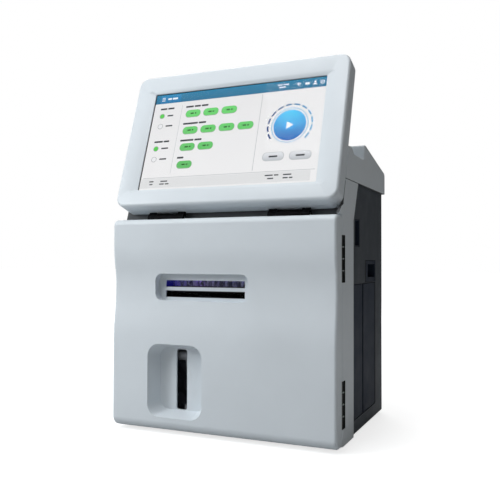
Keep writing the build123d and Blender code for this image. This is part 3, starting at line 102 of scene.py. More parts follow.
# ---- what the screen shows, from its top left corner -----------------------------------------
SCREEN_WIDTH, SCREEN_HEIGHT = 222.7, 130.4
SCREEN_BASE = 21.5  # lower edge of the lit area, up the head's face
SCREEN_TRIM = 0.2  # what the plates on it leave free of its width and height
INK = 0.04  # thickness of each layer
GROUND_THICK = INK - 0.01
WHOLE_RING = 359.9  # degrees; the ends stay just apart

BAR_HEIGHT = 12.6
TAB_CENTRE, TAB_SIZE, TAB_RADIUS = (21.0, 6.7), (29.0, 11.2), 1.2
MENU_ROWS, MENU_SIZE = ((11.0, 4.6), (11.0, 6.6), (11.0, 8.6)), (4.6, 0.8)
WAVE_FOOT, WAVE_RADII, WAVE_DOT = (189.2, 8.2), (1.2, 2.4, 3.6), (189.2, 8.0)
CELL_CENTRE, CELL_SIZE = (199.4, 6.4), (5.0, 2.8)
CELL_TIP_CENTRE, CELL_TIP_SIZE = (202.3, 6.4), (0.8, 1.4)
BUST_HEAD, BUST_BODY = (208.7, 5.0), (208.7, 9.0)
WHEEL_CENTRE = (217.6, 6.4)

PILL_COLUMNS = (56.3, 80.5, 104.8, 129.1)
PILL_ROWS = (30.2, 53.2, 75.6, 98.8)
PILLS_IN_ROW = (3, 4, 2, 1)
PILL_SIZE = (19.6, 9.4)
PILL_MARK_LEFT, PILL_MARKS, PILL_MARK_HEIGHT = -3.6, (4.6, 2.2), 1.9
RIM = 0.9  # how much wider and higher a rim is than its button
CORNER_SLACK = 0.05  # how far a button's corner radius stays under half its height

RADIO_X, RADIO_ROWS = 12.9, (30.4, 44.6, 75.3, 89.7)
RADIO_RING, RADIO_ON, RADIO_OFF = 3.6, 2.9, 3.0

LINES = (  # centre, size
    ((145.8, 63.6), (0.5, 98.0)),
    ((SCREEN_WIDTH / 2, 114.6), (SCREEN_WIDTH - 6, 0.5)),
    ((39.4, 63.6), (0.35, 92.0)),
)
GREY_BUTTONS, GREY_SIZE = ((168.9, 96.3), (200.9, 96.7)), (25.0, 9.8)
STATUS_CENTRE, STATUS_SIZE, STATUS_RADIUS = (107.5, 121.6), (215.0, 12.4), 0.8

BUTTON_CENTRE, BUTTON_RADIUS = (184.1, 58.1), 19.4
BUTTON_TOP = (BUTTON_CENTRE[1] - BUTTON_RADIUS) / SCREEN_HEIGHT
BUTTON_FOOT = (BUTTON_CENTRE[1] + BUTTON_RADIUS) / SCREEN_HEIGHT
HALO_RADIUS, HALO_WIDTH = BUTTON_RADIUS + 2.2, 1.1
GLOSS_RISE, GLOSS_RADIUS = 6.2, BUTTON_RADIUS * 0.62
START_MARK_RADIUS, START_MARK_SHIFT = 5.6, -1.0
DASH_RADIUS, DASH_WIDTH, DASH_SWEEP = 26.4, 2.0, 16.0
DASH_COUNT, DASH_FIRST, DASH_LAST = 12, 34.0, -209.0

BAR_STROKES = (  # left end, middle, lengths of the strokes, their height, layer
    (17.0, 6.6, (5.2, 7.4), 2.4, 2),
    (163.0, 4.6, (6.0, 6.8), 1.4, 2),
    (165.0, 7.8, (8.4,), 1.4, 2),
)
SCREEN_STROKES = (  # the same, below the bar
    (9.0, 20.4, (9.4, 8.8), 2.3, 0),
    (8.8, 66.0, (12.0, 7.6), 2.3, 0),
    (20.4, 30.4, (8.2,), 1.9, 0),
    (20.4, 44.6, (9.6,), 1.9, 0),
    (20.4, 75.3, (9.6,), 1.9, 0),
    (20.4, 89.7, (9.6,), 1.9, 0),
    (45.0, 20.6, (10.6, 8.4, 9.0), 2.4, 0),
    (45.0, 44.0, (20.2, 9.8), 2.4, 0),
    (45.2, 66.8, (18.0, 9.6), 2.4, 0),
    (45.0, 89.6, (8.8,), 2.4, 0),
    (163.7, 96.3, (10.4,), 2.1, 2),
    (195.7, 96.7, (10.4,), 2.1, 2),
    (162.0, 119.3, (9.6, 5.4), 1.5, 1),
    (165.4, 123.2, (7.2,), 1.5, 1),
    (183.6, 119.3, (9.8,), 1.5, 1),
    (183.6, 123.2, (6.0, 4.2), 1.5, 1),
    (12.6, 119.4, (6.0,), 1.5, 1),
    (13.4, 123.0, (4.4,), 1.5, 1),
    (28.0, 119.4, (9.4,), 1.5, 1),
    (27.0, 123.0, (6.4, 5.2), 1.5, 1),
)
# colour of each piece; for a ramp also its second colour and where it begins and ends, as parts of
# the screen's height, or of its width where True says that it runs across
SCREEN_TONES = {
    "screen_ground": ((0.80, 0.79, 0.79), (0.86, 0.85, 0.85), 0.0, 1.0),
    "screen_bar": ((0.026, 0.21, 0.37), (0.02, 0.155, 0.29), 0.0, 0.1),
    "screen_tab": ((0.03, 0.26, 0.50), (0.015, 0.17, 0.38), 0.0, 0.1),
    "screen_bar_marks": ((0.85, 0.90, 0.95),),
    "screen_pill_rims": ((0.25, 0.42, 0.25),),
    "screen_pills": ((0.15, 0.66, 0.16), (0.12, 0.50, 0.13), 0.2, 0.8),
    "screen_pill_marks": ((0.02, 0.12, 0.02),),
    "screen_radio_rings": ((0.36, 0.37, 0.38),),
    "screen_radios_on": ((0.10, 0.62, 0.08),),
    "screen_radios_off": ((0.82, 0.82, 0.83),),
    "screen_words": ((0.045, 0.05, 0.055),),
    "screen_lines": ((0.42, 0.44, 0.46),),
    "screen_grey_buttons": ((0.80, 0.81, 0.83), (0.5, 0.52, 0.55), 0.7, 0.78),
    "screen_status": ((0.74, 0.74, 0.74),),
    "screen_button_ring": ((0.30, 0.52, 0.72),),
    "screen_button": ((0.07, 0.50, 0.88), (0.012, 0.11, 0.46), BUTTON_TOP + 0.03, BUTTON_FOOT),
    "screen_button_gloss": (
        (0.07, 0.58, 0.90), (0.05, 0.36, 0.76), BUTTON_TOP + 0.02, BUTTON_TOP + 0.16,
    ),
    "screen_start_mark": ((0.90, 0.94, 0.98),),
    "screen_dashes": ((0.006, 0.05, 0.20), (0.16, 0.42, 0.66), 0.72, 0.95, True),
}

# ---- which finish goes where -----------------------------------------------------------------
SHELLS = (  # node, body, finish, slot, radius of its edges in metres
    ("door_shell", "door", "pale_door", "door_light", 0.0008),
    ("top_cover", "cabinet", "pale", "shell_light", 0.0006),
    ("front_frame", "cabinet", "pale", "shell_light", 0.0006),
    ("head_bezel", "head", "pale", "shell_light", 0.0005),
    ("head_back_cover", "head", "pale", "shell_light", 0.0005),
    ("side_panel_right", "cabinet", "slate", "panel_dark", 0.0003),
    ("side_panel_left", "cabinet", "slate", "panel_dark", 0.0003),
    ("rear_panel", "cabinet", "slate", "panel_dark", 0.0003),
    ("side_hatch", "hatch", "hatch", "hatch_dark", 0.0005),
    ("side_cover_plate", "cabinet", "hatch", "hatch_dark", 0.0005),
    ("hatch_pull_cup", "cabinet", "hatch", "hatch_dark", 0.0005),
    ("port_cup", "cabinet", "hatch", "hatch_dark", 0.0005),
)
HINGE_LEAVES = ("body_hinge_leaf_lower", "body_hinge_leaf_upper")
FITTINGS = {
    "black": (
        *HINGE_LEAVES, "door_hinge_arm_lower", "door_hinge_arm_upper", "pack_bay", "power_inlet",
        "switch_body", "switch_rocker", "fan_frame", "fan_rotor", "pump_rotor",
    ),
    "hinge_block": ("tilt_hinge_bases", "tilt_hinge_arms"),
    "grey": ("probe_bracket", "wash_cup", "pump_housing", "probe_carrier"),
    "white": ("pump_rollers", "reagent_pack"),
    "steel": (
        "door_hinge_pins", "door_keeper_plates", "door_magnets", "tilt_hinge_pins", "probe_pin",
        "pump_shaft", "pump_motor", "rear_screws", "head_screws",
    ),
    "bright": ("sample_probe", "usb_ports", "network_port"),
    "zinc": ("bulkhead", "base_tray", "power_supply", "display_chassis"),
    "foot": ("feet",),
    "board": ("main_board", "display_board"),
    "slot_lens": ("door_slot_lens",),
    "glass": ("touch_glass",),
    "lcd_frame": ("lcd_panel",),
    "tube": ("pump_tube",),
    "sensor_block_painted_glow": ("sensor_housing",),
    "flow_cell": ("flow_cell",),
    "sensors": ("sensor_electrodes",),
    "lamp": ("sensor_lamp",),
}


# ---- places ----------------------------------------------------------------------------------
def on_cabinet(x, depth, height):
    """Point in metres; depth behind the closed door's front, height above the cabinet's base."""
    return Vector((x, depth - BODY_DEPTH / 2, height + FOOT_HEIGHT)) * MM


def head_matrix():
    """From head coordinates (x, up the face, out of the face; millimetres) to the row's metres."""
    across = Vector((1, 0, 0))
    up = Vector((0, math.sin(HEAD_TILT), math.cos(HEAD_TILT)))
    out = Vector((0, -math.cos(HEAD_TILT), math.sin(HEAD_TILT)))
    turn = Matrix((across, up, out)).transposed().to_4x4()
    return Matrix.Translation(on_cabinet(0, HEAD_DEPTH, HEAD_BASE)) @ turn @ Matrix.Scale(MM, 4)


def lit_face():
    """How far out of the head's face the display panel's front lies; negative, as it is sunk."""
    to_head = head_matrix().inverted()
    return max((to_head @ vertex.co).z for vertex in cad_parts["lcd_panel"].data.vertices)


def screen_matrix():
    """From screen coordinates (x from the left edge, y down from the top) to the row's metres."""
    corner = Vector((-SCREEN_WIDTH / 2, SCREEN_BASE + SCREEN_HEIGHT, lit_face() + INK))
    return head_matrix() @ Matrix.Translation(corner) @ Matrix.Diagonal((1, -1, 1, 1))


# ---- camera, light and stage -----------------------------------------------------------------
def add_object(name, data, place=None):
    """New object of the scene, at the origin where no place is given."""
    made = bpy.data.objects.new(name, data)
    if place is not None:
        made.matrix_world = place
    bpy.context.scene.collection.objects.link(made)
    return made


def make_camera():
    """Camera at the photograph's place, direction and lens."""
    yaw, pitch, roll = (math.radians(a) for a in (CAMERA_YAW, CAMERA_PITCH, CAMERA_ROLL))
    level_right = Vector((math.cos(yaw), math.sin(yaw), 0))
    level_ahead = Vector((-math.sin(yaw), math.cos(yaw), 0))
    ahead = level_ahead * math.cos(pitch) + Vector((0, 0, 1)) * math.sin(pitch)
    above = Vector((0, 0, 1)) * math.cos(pitch) - level_ahead * math.sin(pitch)
    right = level_right * math.cos(roll) + above * math.sin(roll)
    up = above * math.cos(roll) - level_right * math.sin(roll)
    turn = Matrix((right, up, -ahead)).transposed().to_4x4()
    data = bpy.data.cameras.new("camera")
    data.lens = CAMERA_LENS
    data.sensor_width = CAMERA_SENSOR
    data.clip_end = CAMERA_REACH
    bpy.context.scene.camera = add_object("camera", data, Matrix.Translation(CAMERA_PLACE) @ turn)


def soft_box(name, azimuth, elevation, distance, size, power, tint):
    """Square lamp aimed at the object; azimuth 0 is straight in front, positive to the right."""
    turn, rise = math.radians(azimuth), math.radians(elevation)
    away = Vector((math.sin(turn) * math.cos(rise), -math.cos(turn) * math.cos(rise), math.sin(rise)))
    data = bpy.data.lights.new(name, "AREA")
    data.shape = "RECTANGLE"
    data.size, data.size_y = size, size
    data.energy = power
    data.color = tint
    facing = away.to_track_quat("Z", "Y").to_matrix().to_4x4()
    add_object(name, data, Matrix.Translation(LAMP_AIM + away * distance) @ facing)


def seen_or_lighting(tree, lighting, seen):
    """Shader that shows the camera and glass one thing and lights the object with another."""
    path = tree.nodes.new("ShaderNodeLightPath")
    either = tree.nodes.new("ShaderNodeMath")
    either.operation = "MAXIMUM"
    tree.links.new(path.outputs["Is Camera Ray"], either.inputs[0])
    tree.links.new(path.outputs["Is Transmission Ray"], either.inputs[1])
    mix = tree.nodes.new("ShaderNodeMixShader")
    for socket, source in zip(mix.inputs, (either, lighting, seen)):
        tree.links.new(source.outputs[0], socket)
    return mix.outputs[0]


def make_world():
    """Dim surround that looks white."""
    world = bpy.data.worlds.new("studio")
    world.use_nodes = True
    tree = world.node_tree
    tree.nodes.clear()
    ambient = tree.nodes.new("ShaderNodeBackground")
    ambient.inputs["Color"].default_value = (*AMBIENT_TONE, 1)
    ambient.inputs["Strength"].default_value = AMBIENT_STRENGTH
    white = tree.nodes.new("ShaderNodeBackground")
    white.inputs["Color"].default_value = (1, 1, 1, 1)
    white.inputs["Strength"].default_value = 1.0
    out = tree.nodes.new("ShaderNodeOutputWorld")
    tree.links.new(seen_or_lighting(tree, ambient, white), out.inputs[0])
    bpy.context.scene.world = world


def make_floor():
    """Pale floor that takes the object's shadow and looks white beyond it."""
    bm = bmesh.new()
    bmesh.ops.create_grid(bm, x_segments=1, y_segments=1, size=FLOOR_SIZE)
    floor = piece_from("studio_floor", bm)
    material = bpy.data.materials.new("studio_floor")
    material.use_nodes = True
    tree = material.node_tree
    tree.nodes.clear()
    pale = tree.nodes.new("ShaderNodeBsdfDiffuse")
    pale.inputs["Color"].default_value = (*FLOOR_TONE, 1)
    coords = tree.nodes.new("ShaderNodeTexCoord")
    distance = tree.nodes.new("ShaderNodeVectorMath")
    distance.operation = "LENGTH"
    tree.links.new(coords.outputs["Object"], distance.inputs[0])
    glow = tree.nodes.new("ShaderNodeEmission")
    brighten = remap(tree, distance.outputs["Value"], *FLOOR_GLOW, *FLOOR_GLOW_REACH)
    tree.links.new(brighten, glow.inputs["Strength"])
    dark = tree.nodes.new("ShaderNodeEmission")
    dark.inputs["Strength"].default_value = 0.0
    add = tree.nodes.new("ShaderNodeAddShader")
    tree.links.new(pale.outputs[0], add.inputs[0])
    tree.links.new(seen_or_lighting(tree, dark, glow), add.inputs[1])
    out = tree.nodes.new("ShaderNodeOutputMaterial")
    tree.links.new(add.outputs[0], out.inputs[0])
    floor.data.materials.append(material)


# ---- material steps --------------------------------------------------------------------------
def base_material(name, colour, roughness, metallic=0.0):
    """Principled material with its node tree, its shader and its texture coordinates."""
    material = bpy.data.materials.new(name)
    material.use_nodes = True
    tree = material.node_tree
    shader = tree.nodes["Principled BSDF"]
    shader.inputs["Base Color"].default_value = (*colour, 1)
    shader.inputs["Roughness"].default_value = roughness
    shader.inputs["Metallic"].default_value = metallic
    coords = tree.nodes.new("ShaderNodeTexCoord")
    return material, tree, shader, coords


def noise(tree, coords, scale, detail=3.0, squeeze=None):
    """Cloudy pattern through the object, squeezed by a factor along each axis if need be."""
    node = tree.nodes.new("ShaderNodeTexNoise")
    node.inputs["Scale"].default_value = scale
    node.inputs["Detail"].default_value = detail
    source = coords.outputs["Object"]
    if squeeze:
        mapping = tree.nodes.new("ShaderNodeMapping")
        mapping.inputs["Scale"].default_value = squeeze
        tree.links.new(source, mapping.inputs["Vector"])
        source = mapping.outputs["Vector"]
    tree.links.new(source, node.inputs["Vector"])
    return node.outputs["Fac"]


def remap(tree, value, low, high, start=0.3, end=0.7):
    """Low to high while the value goes from start to end."""
    node = tree.nodes.new("ShaderNodeMapRange")
    node.inputs["From Min"].default_value = start
    node.inputs["From Max"].default_value = end
    node.inputs["To Min"].default_value = low
    node.inputs["To Max"].default_value = high
    tree.links.new(value, node.inputs["Value"])
    return node.outputs["Result"]


def axis_of(tree, vector, axis):
    """One axis of a vector socket, 0 to 2."""
    split = tree.nodes.new("ShaderNodeSeparateXYZ")
    tree.links.new(vector, split.inputs[0])
    return split.outputs[axis]


def blend_colours(tree, fac, first, second):
    """Blend of two colours or colour sockets."""
    node = tree.nodes.new("ShaderNodeMix")
    node.data_type = "RGBA"
    tree.links.new(fac, node.inputs["Factor"])
    for socket, value in ((node.inputs[6], first), (node.inputs[7], second)):
        if hasattr(value, "is_output"):
            tree.links.new(value, socket)
        else:
            socket.default_value = (*value, 1)
    return node.outputs[2]


def colour_steps(tree, value, steps):
    """Colour ramp from pairs of a place and a colour."""
    node = tree.nodes.new("ShaderNodeValToRGB")
    tree.links.new(value, node.inputs["Fac"])
    ramp = node.color_ramp
    while len(ramp.elements) < len(steps):
        ramp.elements.new(0.5)
    for element, (place, colour) in zip(ramp.elements, steps):
        element.position = place
        element.color = (*colour, 1)
    return node.outputs["Color"]


def bump(tree, shader, height, strength, distance):
    """Fine relief; the distance is in metres."""
    node = tree.nodes.new("ShaderNodeBump")
    node.inputs["Strength"].default_value = strength
    node.inputs["Distance"].default_value = distance
    tree.links.new(height, node.inputs["Height"])
    tree.links.new(node.outputs["Normal"], shader.inputs["Normal"])


def shade(colour, factor):
    """Colour made darker or paler."""
    return tuple(min(1.0, c * factor) for c in colour)


# ---- materials -------------------------------------------------------------------------------
def moulded_plastic(name, colour, roughness=0.42, mottle=0.03, grain=0.10, handled=0.0, shine=0.45):
    """Spark-eroded moulding: faint mottling, fine grain, and slightly polished or soiled patches."""
    material, tree, shader, coords = base_material(name, colour, roughness)
    clouds = remap(tree, noise(tree, coords, scale=14.0, detail=4.0), 0.0, 1.0)
    tone = blend_colours(tree, clouds, shade(colour, 1 - mottle), shade(colour, 1 + mottle * 0.6))
    if handled:
        touched = noise(tree, coords, scale=5.0, detail=6.0)
        smudge = remap(tree, touched, 0.0, handled, start=0.52, end=0.75)
        tone = blend_colours(tree, smudge, tone, shade(colour, 0.86))
    tree.links.new(tone, shader.inputs["Base Color"])
    patches = noise(tree, coords, scale=38.0, detail=5.0)
    tree.links.new(remap(tree, patches, roughness - 0.05, roughness + 0.06), shader.inputs["Roughness"])
    bump(tree, shader, noise(tree, coords, scale=1500.0, detail=2.0), grain, 0.0002)
    shader.inputs["Specular IOR Level"].default_value = shine
    return material


def powder_coat(name, colour, roughness=0.5):
    """Painted sheet: orange-peel bump, dust in faint clouds and a slightly uneven sheen."""
    material, tree, shader, coords = base_material(name, colour, roughness)
    clouds = remap(tree, noise(tree, coords, scale=9.0, detail=5.0), 0.0, 1.0)
    tone = blend_colours(tree, clouds, shade(colour, 0.92), shade(colour, 1.08))
    dust = remap(tree, noise(tree, coords, scale=60.0, detail=8.0), 0.0, 0.05, start=0.5, end=0.8)
    tone = blend_colours(tree, dust, tone, (0.45, 0.46, 0.47))
    tree.links.new(tone, shader.inputs["Base Color"])
    patches = noise(tree, coords, scale=26.0, detail=4.0)
    tree.links.new(remap(tree, patches, roughness - 0.07, roughness + 0.08), shader.inputs["Roughness"])
    bump(tree, shader, noise(tree, coords, scale=700.0), 0.22, 0.0003)
    return material


def brushed_metal(name, colour, roughness=0.32):
    """Metal with fine level lines from brushing."""
    material, tree, shader, coords = base_material(name, colour, roughness, metallic=1.0)
    lines = noise(tree, coords, scale=60.0, detail=6.0, squeeze=(1, 1, 60))
    tone = blend_colours(tree, remap(tree, lines, 0, 1), shade(colour, 0.86), shade(colour, 1.06))
    tree.links.new(tone, shader.inputs["Base Color"])
    tree.links.new(remap(tree, lines, roughness - 0.08, roughness + 0.12), shader.inputs["Roughness"])
    bump(tree, shader, lines, 0.12, 0.0001)
    return material


def zinc_sheet(name):
    """Galvanised sheet with its spangle."""
    material, tree, shader, coords = base_material(name, (0.50, 0.52, 0.54), 0.4, metallic=1.0)
    cells = tree.nodes.new("ShaderNodeTexVoronoi")
    cells.inputs["Scale"].default_value = 110.0
    tree.links.new(coords.outputs["Object"], cells.inputs["Vector"])
    grey = tree.nodes.new("ShaderNodeSeparateColor")
    tree.links.new(cells.outputs["Color"], grey.inputs["Color"])
    tone = blend_colours(tree, grey.outputs[0], (0.42, 0.44, 0.46), (0.60, 0.62, 0.64))
    tree.links.new(tone, shader.inputs["Base Color"])
    tree.links.new(remap(tree, grey.outputs[0], 0.34, 0.5, 0, 1), shader.inputs["Roughness"])
    return material


def rubber(name, colour):
    """Dull rubber, dusty in places."""
    material, tree, shader, coords = base_material(name, colour, 0.72)
    clouds = remap(tree, noise(tree, coords, scale=90.0, detail=5.0), 0, 1)
    tone = blend_colours(tree, clouds, shade(colour, 0.8), shade(colour, 1.5))
    tree.links.new(tone, shader.inputs["Base Color"])
    bump(tree, shader, noise(tree, coords, scale=420.0, detail=4.0), 0.3, 0.0003)
    return material


def clear_plastic(name, tint, roughness):
    """Clear sheet with an anti-glare coating, which its low index stands for."""
    material, tree, shader, coords = base_material(name, tint, roughness)
    shader.inputs["Transmission Weight"].default_value = 1.0
    shader.inputs["IOR"].default_value = 1.09
    haze = remap(tree, noise(tree, coords, scale=50.0), roughness, roughness + 0.03)
    tree.links.new(haze, shader.inputs["Roughness"])
    return material


def circuit_board(name):
    """Green solder mask with faint copper runs under it."""
    material, tree, shader, coords = base_material(name, (0.02, 0.13, 0.06), 0.35)
    bricks = tree.nodes.new("ShaderNodeTexBrick")
    bricks.inputs["Scale"].default_value = 180.0
    bricks.inputs["Mortar Size"].default_value = 0.03
    mapping = tree.nodes.new("ShaderNodeMapping")
    mapping.inputs["Rotation"].default_value = (math.radians(90), 0, 0)
    tree.links.new(coords.outputs["Object"], mapping.inputs["Vector"])
    tree.links.new(mapping.outputs["Vector"], bricks.inputs["Vector"])
    tone = blend_colours(tree, bricks.outputs["Fac"], (0.018, 0.12, 0.055), (0.07, 0.26, 0.11))
    tree.links.new(tone, shader.inputs["Base Color"])
    return material


def lit(name, colour, second=None, low=0.0, high=1.0, across=False, strength=1.0):
    """Lit colour without gloss; a second colour makes a ramp down or across the screen."""
    material, tree, shader, coords = base_material(name, (0.02, 0.02, 0.02), 0.9)
    shader.inputs["Specular IOR Level"].default_value = 0.0
    shader.inputs["Emission Strength"].default_value = strength
    shader.inputs["Emission Color"].default_value = (*colour, 1)
    if second:
        along = axis_of(tree, coords.outputs["UV"], 0 if across else 1)
        tone = blend_colours(tree, remap(tree, along, 0.0, 1.0, low, high), colour, second)
        tree.links.new(tone, shader.inputs["Emission Color"])
    return material


def along_window(tree, coords):
    """0 at the window's left end and 1 at its right end."""
    return remap(tree, axis_of(tree, coords.outputs["Object"], 0), 0.0, 1.0, *WINDOW_SPAN)


def electrode_material():
    """Sensor bodies: blue at the row's left end, violet a third of the way along, grey to the right,
    glowing in these colours as painted light.
    """
    material, tree, shader, coords = base_material("sensor_bodies_painted_glow", (0.06, 0.06, 0.10), 0.3)
    pale = colour_steps(tree, along_window(tree, coords), SENSOR_TONES)
    marks = noise(tree, coords, scale=260.0, detail=2.0, squeeze=(1, 0.2, 0.35))
    tone = blend_colours(tree, remap(tree, marks, 0, 1, 0.42, 0.58), (0.008, 0.008, 0.02), pale)
    tree.links.new(tone, shader.inputs["Base Color"])
    # the sensors glow in their own colours: painted light, as they are no lamp
    tree.links.new(tone, shader.inputs["Emission Color"])
    shader.inputs["Emission Strength"].default_value = SENSOR_PAINTED_GLOW
    return material


def sensor_block_material():
    """Black block with a painted blue glow at its left end, standing for the light of the lamp behind
    the sensors.
    """
    material, tree, shader, coords = base_material("sensor_block_painted_glow", (0.02, 0.02, 0.025), 0.45)
    glow = colour_steps(tree, along_window(tree, coords), BLOCK_GLOW_TONES)
    tree.links.new(glow, shader.inputs["Emission Color"])
    height = remap(tree, axis_of(tree, coords.outputs["Object"], 2), 0.0, 1.0, *GLOW_HEIGHTS)
    tree.links.new(colour_steps(tree, height, GLOW_BAND), shader.inputs["Emission Strength"])
    patches = remap(tree, noise(tree, coords, scale=45.0), 0.40, 0.52)
    tree.links.new(patches, shader.inputs["Roughness"])
    return material


def cabinet_finishes():
    """Every finish of the cabinet, the door and the head."""
    return {
        "pale": moulded_plastic("pale_housing", (0.66, 0.71, 0.75), handled=0.25),
        "pale_door": moulded_plastic("pale_door", (0.66, 0.71, 0.75), 0.44, handled=0.30),
        "slate": powder_coat("slate_panel", (0.034, 0.045, 0.060)),
        "hatch": moulded_plastic("slate_hatch", (0.024, 0.034, 0.056), 0.55, mottle=0.06, shine=0.15),
        "black": moulded_plastic("black_moulding", (0.012, 0.012, 0.013), 0.38, mottle=0.15),
        "hinge_block": moulded_plastic("hinge_block", (0.004, 0.004, 0.005), 0.65, shine=0.1),
        # dark grey for painted shade under the head and along the parting line
        "neck": moulded_plastic("neck_liner", (0.095, 0.10, 0.105), 0.7, shine=0.2),
        "grey": moulded_plastic("grey_moulding", (0.24, 0.25, 0.27), 0.45),
        "white": moulded_plastic("white_moulding", (0.72, 0.73, 0.72), 0.38),
        "spacer": moulded_plastic("hinge_spacer", (0.55, 0.57, 0.58), 0.5),
        "steel": brushed_metal("brushed_steel", (0.60, 0.61, 0.63)),
        "bright": brushed_metal("bright_metal", (0.74, 0.75, 0.77), 0.16),
        "zinc": zinc_sheet("zinc_sheet"),
        "foot": rubber("foot_rubber", (0.025, 0.025, 0.026)),
        # dark strips that stand for shadow lines: painted shade
        "shade_strip": rubber("painted_shade_strip", (0.006, 0.007, 0.012)),
        "board": circuit_board("circuit_board"),
        "slot_lens": clear_plastic("slot_lens", (0.80, 0.82, 0.88), 0.02),
        "glass": clear_plastic("cover_glass", (0.97, 0.98, 0.99), 0.0),
        "lcd_frame": moulded_plastic("lcd_frame", (0.02, 0.02, 0.02), 0.5),
        "tube": moulded_plastic("soft_tube", (0.66, 0.62, 0.50), 0.3),
        "sensor_block_painted_glow": sensor_block_material(),
        "sensors": electrode_material(),
        "flow_cell": moulded_plastic("flow_cell", (0.001, 0.001, 0.001), 0.8, shine=0.02),
        "lamp": lit("sensor_lamp", (0.16, 0.14, 0.9), strength=3.0),
    }


# ---- mesh helpers ----------------------------------------------------------------------------
def piece_from(name, bm, body=None, material=None, smooth=False):
    """Makes an object of the bmesh, at the origin, riding on a body."""
    mesh = bpy.data.meshes.new(name)
    bm.to_mesh(mesh)
    bm.free()
    made = add_object(name, mesh)
    if material:
        mesh.materials.append(material)
    if smooth:
        mesh.shade_smooth()
        mesh.set_sharp_from_angle(angle=SHARP_ANGLE)
    if body:
        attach(made, body)
    return made


def add_block(bm, size, place):
    """Block of a size in millimetres round a place in metres."""
    made = bmesh.ops.create_cube(bm, size=MM)["verts"]
    bmesh.ops.scale(bm, vec=size, verts=made)
    bmesh.ops.translate(bm, vec=place, verts=made)


def thicken(bm, faces, thick):
    """Gives flat faces their thickness upwards."""
    top = bmesh.ops.extrude_face_region(bm, geom=faces)["geom"]
    moved = [item for item in top if isinstance(item, bmesh.types.BMVert)]
    bmesh.ops.translate(bm, vec=(0, 0, thick), verts=moved)


def rounded_plate(bm, centre, size, radius, level=0.0, thick=INK, segments=5):
    """Plate with rounded corners; its underside lies at the level."""
    made = bmesh.ops.create_grid(bm, x_segments=1, y_segments=1, size=0.5)["verts"]
    bmesh.ops.scale(bm, vec=(size[0], size[1], 1), verts=made)
    bmesh.ops.translate(bm, vec=(centre[0], centre[1], level), verts=made)
    if radius > 0:
        made = bmesh.ops.bevel(
            bm, geom=made, offset=radius, offset_type="OFFSET", segments=segments, profile=0.5,
            affect="VERTICES", material=-1, clamp_overlap=True,
        )["verts"]
    thicken(bm, [made[0].link_faces[0]], thick)


def disc(bm, centre, radius, level=0.0, segments=48):
    """Round plate; its underside lies at the level."""
    made = bmesh.ops.create_circle(bm, cap_ends=True, radius=radius, segments=segments)["verts"]
    bmesh.ops.translate(bm, vec=(centre[0], centre[1], level), verts=made)
    thicken(bm, [made[0].link_faces[0]], INK)


def arc_band(bm, centre, radius, width, start=0.0, sweep=WHOLE_RING, level=0.0, steps=12):
    """Part of a ring, spun from one short edge; angles in degrees, turning anticlockwise."""
    turn = math.radians(start)
    ray = Vector((math.cos(turn), math.sin(turn), 0))
    middle = Vector((centre[0], centre[1], level))
    ends = [bm.verts.new(middle + ray * (radius + side * width / 2)) for side in (-1, 1)]
    edge = bm.edges.new(ends)
    before = set(bm.faces)
    bmesh.ops.spin(
        bm, geom=[edge], cent=middle, axis=(0, 0, 1), angle=math.radians(sweep), steps=steps,
        use_merge=False,
    )
    thicken(bm, [face for face in bm.faces if face not in before], INK)


# ---- screen ----------------------------------------------------------------------------------
def screen_piece(name, bm):
    """Finishes what the screen shows: UV from the screen's own size, then its place on the head."""
    layer = bm.loops.layers.uv.new("screen")
    for face in bm.faces:
        for loop in face.loops:
            x, y, _ = loop.vert.co
            loop[layer].uv = (x / SCREEN_WIDTH, y / SCREEN_HEIGHT)
    bm.transform(screen_matrix())
    bmesh.ops.recalc_face_normals(bm, faces=bm.faces)
    piece_from(name, bm, "head", lit(name, *SCREEN_TONES[name]))


def add_strokes(bm, left, middle, lengths, height, layer):
    """Row of short rounded strokes of one height."""
    gap, rounding = 1.3, 0.3
    for length in lengths:
        centre = (left + length / 2, middle)
        rounded_plate(bm, centre, (length, height), height * rounding, layer * INK, segments=2)
        left += length + gap


def screen_ground():
    """Pale ground under everything that the screen shows."""
    bm = bmesh.new()
    centre = (SCREEN_WIDTH / 2, SCREEN_HEIGHT / 2)
    size = (SCREEN_WIDTH - SCREEN_TRIM, SCREEN_HEIGHT - SCREEN_TRIM)
    rounded_plate(bm, centre, size, 0, -GROUND_THICK, GROUND_THICK)
    screen_piece("screen_ground", bm)


def screen_top_bar():
    """Blue bar along the top, and the brighter tab at its left end."""
    bm = bmesh.new()
    rounded_plate(bm, (SCREEN_WIDTH / 2, BAR_HEIGHT / 2), (SCREEN_WIDTH - SCREEN_TRIM, BAR_HEIGHT), 0)
    screen_piece("screen_bar", bm)
    bm = bmesh.new()
    rounded_plate(bm, TAB_CENTRE, TAB_SIZE, TAB_RADIUS, INK)
    screen_piece("screen_tab", bm)


def screen_bar_signs():
    """Menu, waves, battery, bust and wheel on the bar, and its short strokes."""
    bm = bmesh.new()
    level = INK * 2
    for row in MENU_ROWS:
        rounded_plate(bm, row, MENU_SIZE, 0.2, level, segments=2)
    for strokes in BAR_STROKES:
        add_strokes(bm, *strokes)
    for radius in WAVE_RADII:
        arc_band(bm, WAVE_FOOT, radius, 0.7, 225, 90, level)
    disc(bm, WAVE_DOT, 0.5, level, segments=12)
    rounded_plate(bm, CELL_CENTRE, CELL_SIZE, 0.5, level)
    rounded_plate(bm, CELL_TIP_CENTRE, CELL_TIP_SIZE, 0.1, level)
    disc(bm, BUST_HEAD, 1.3, level, segments=20)
    arc_band(bm, BUST_BODY, 1.6, 1.5, 180, 180, level)
    arc_band(bm, WHEEL_CENTRE, 2.1, 0.8, level=level, steps=24)
    disc(bm, WHEEL_CENTRE, 0.7, level, segments=12)
    screen_piece("screen_bar_marks", bm)


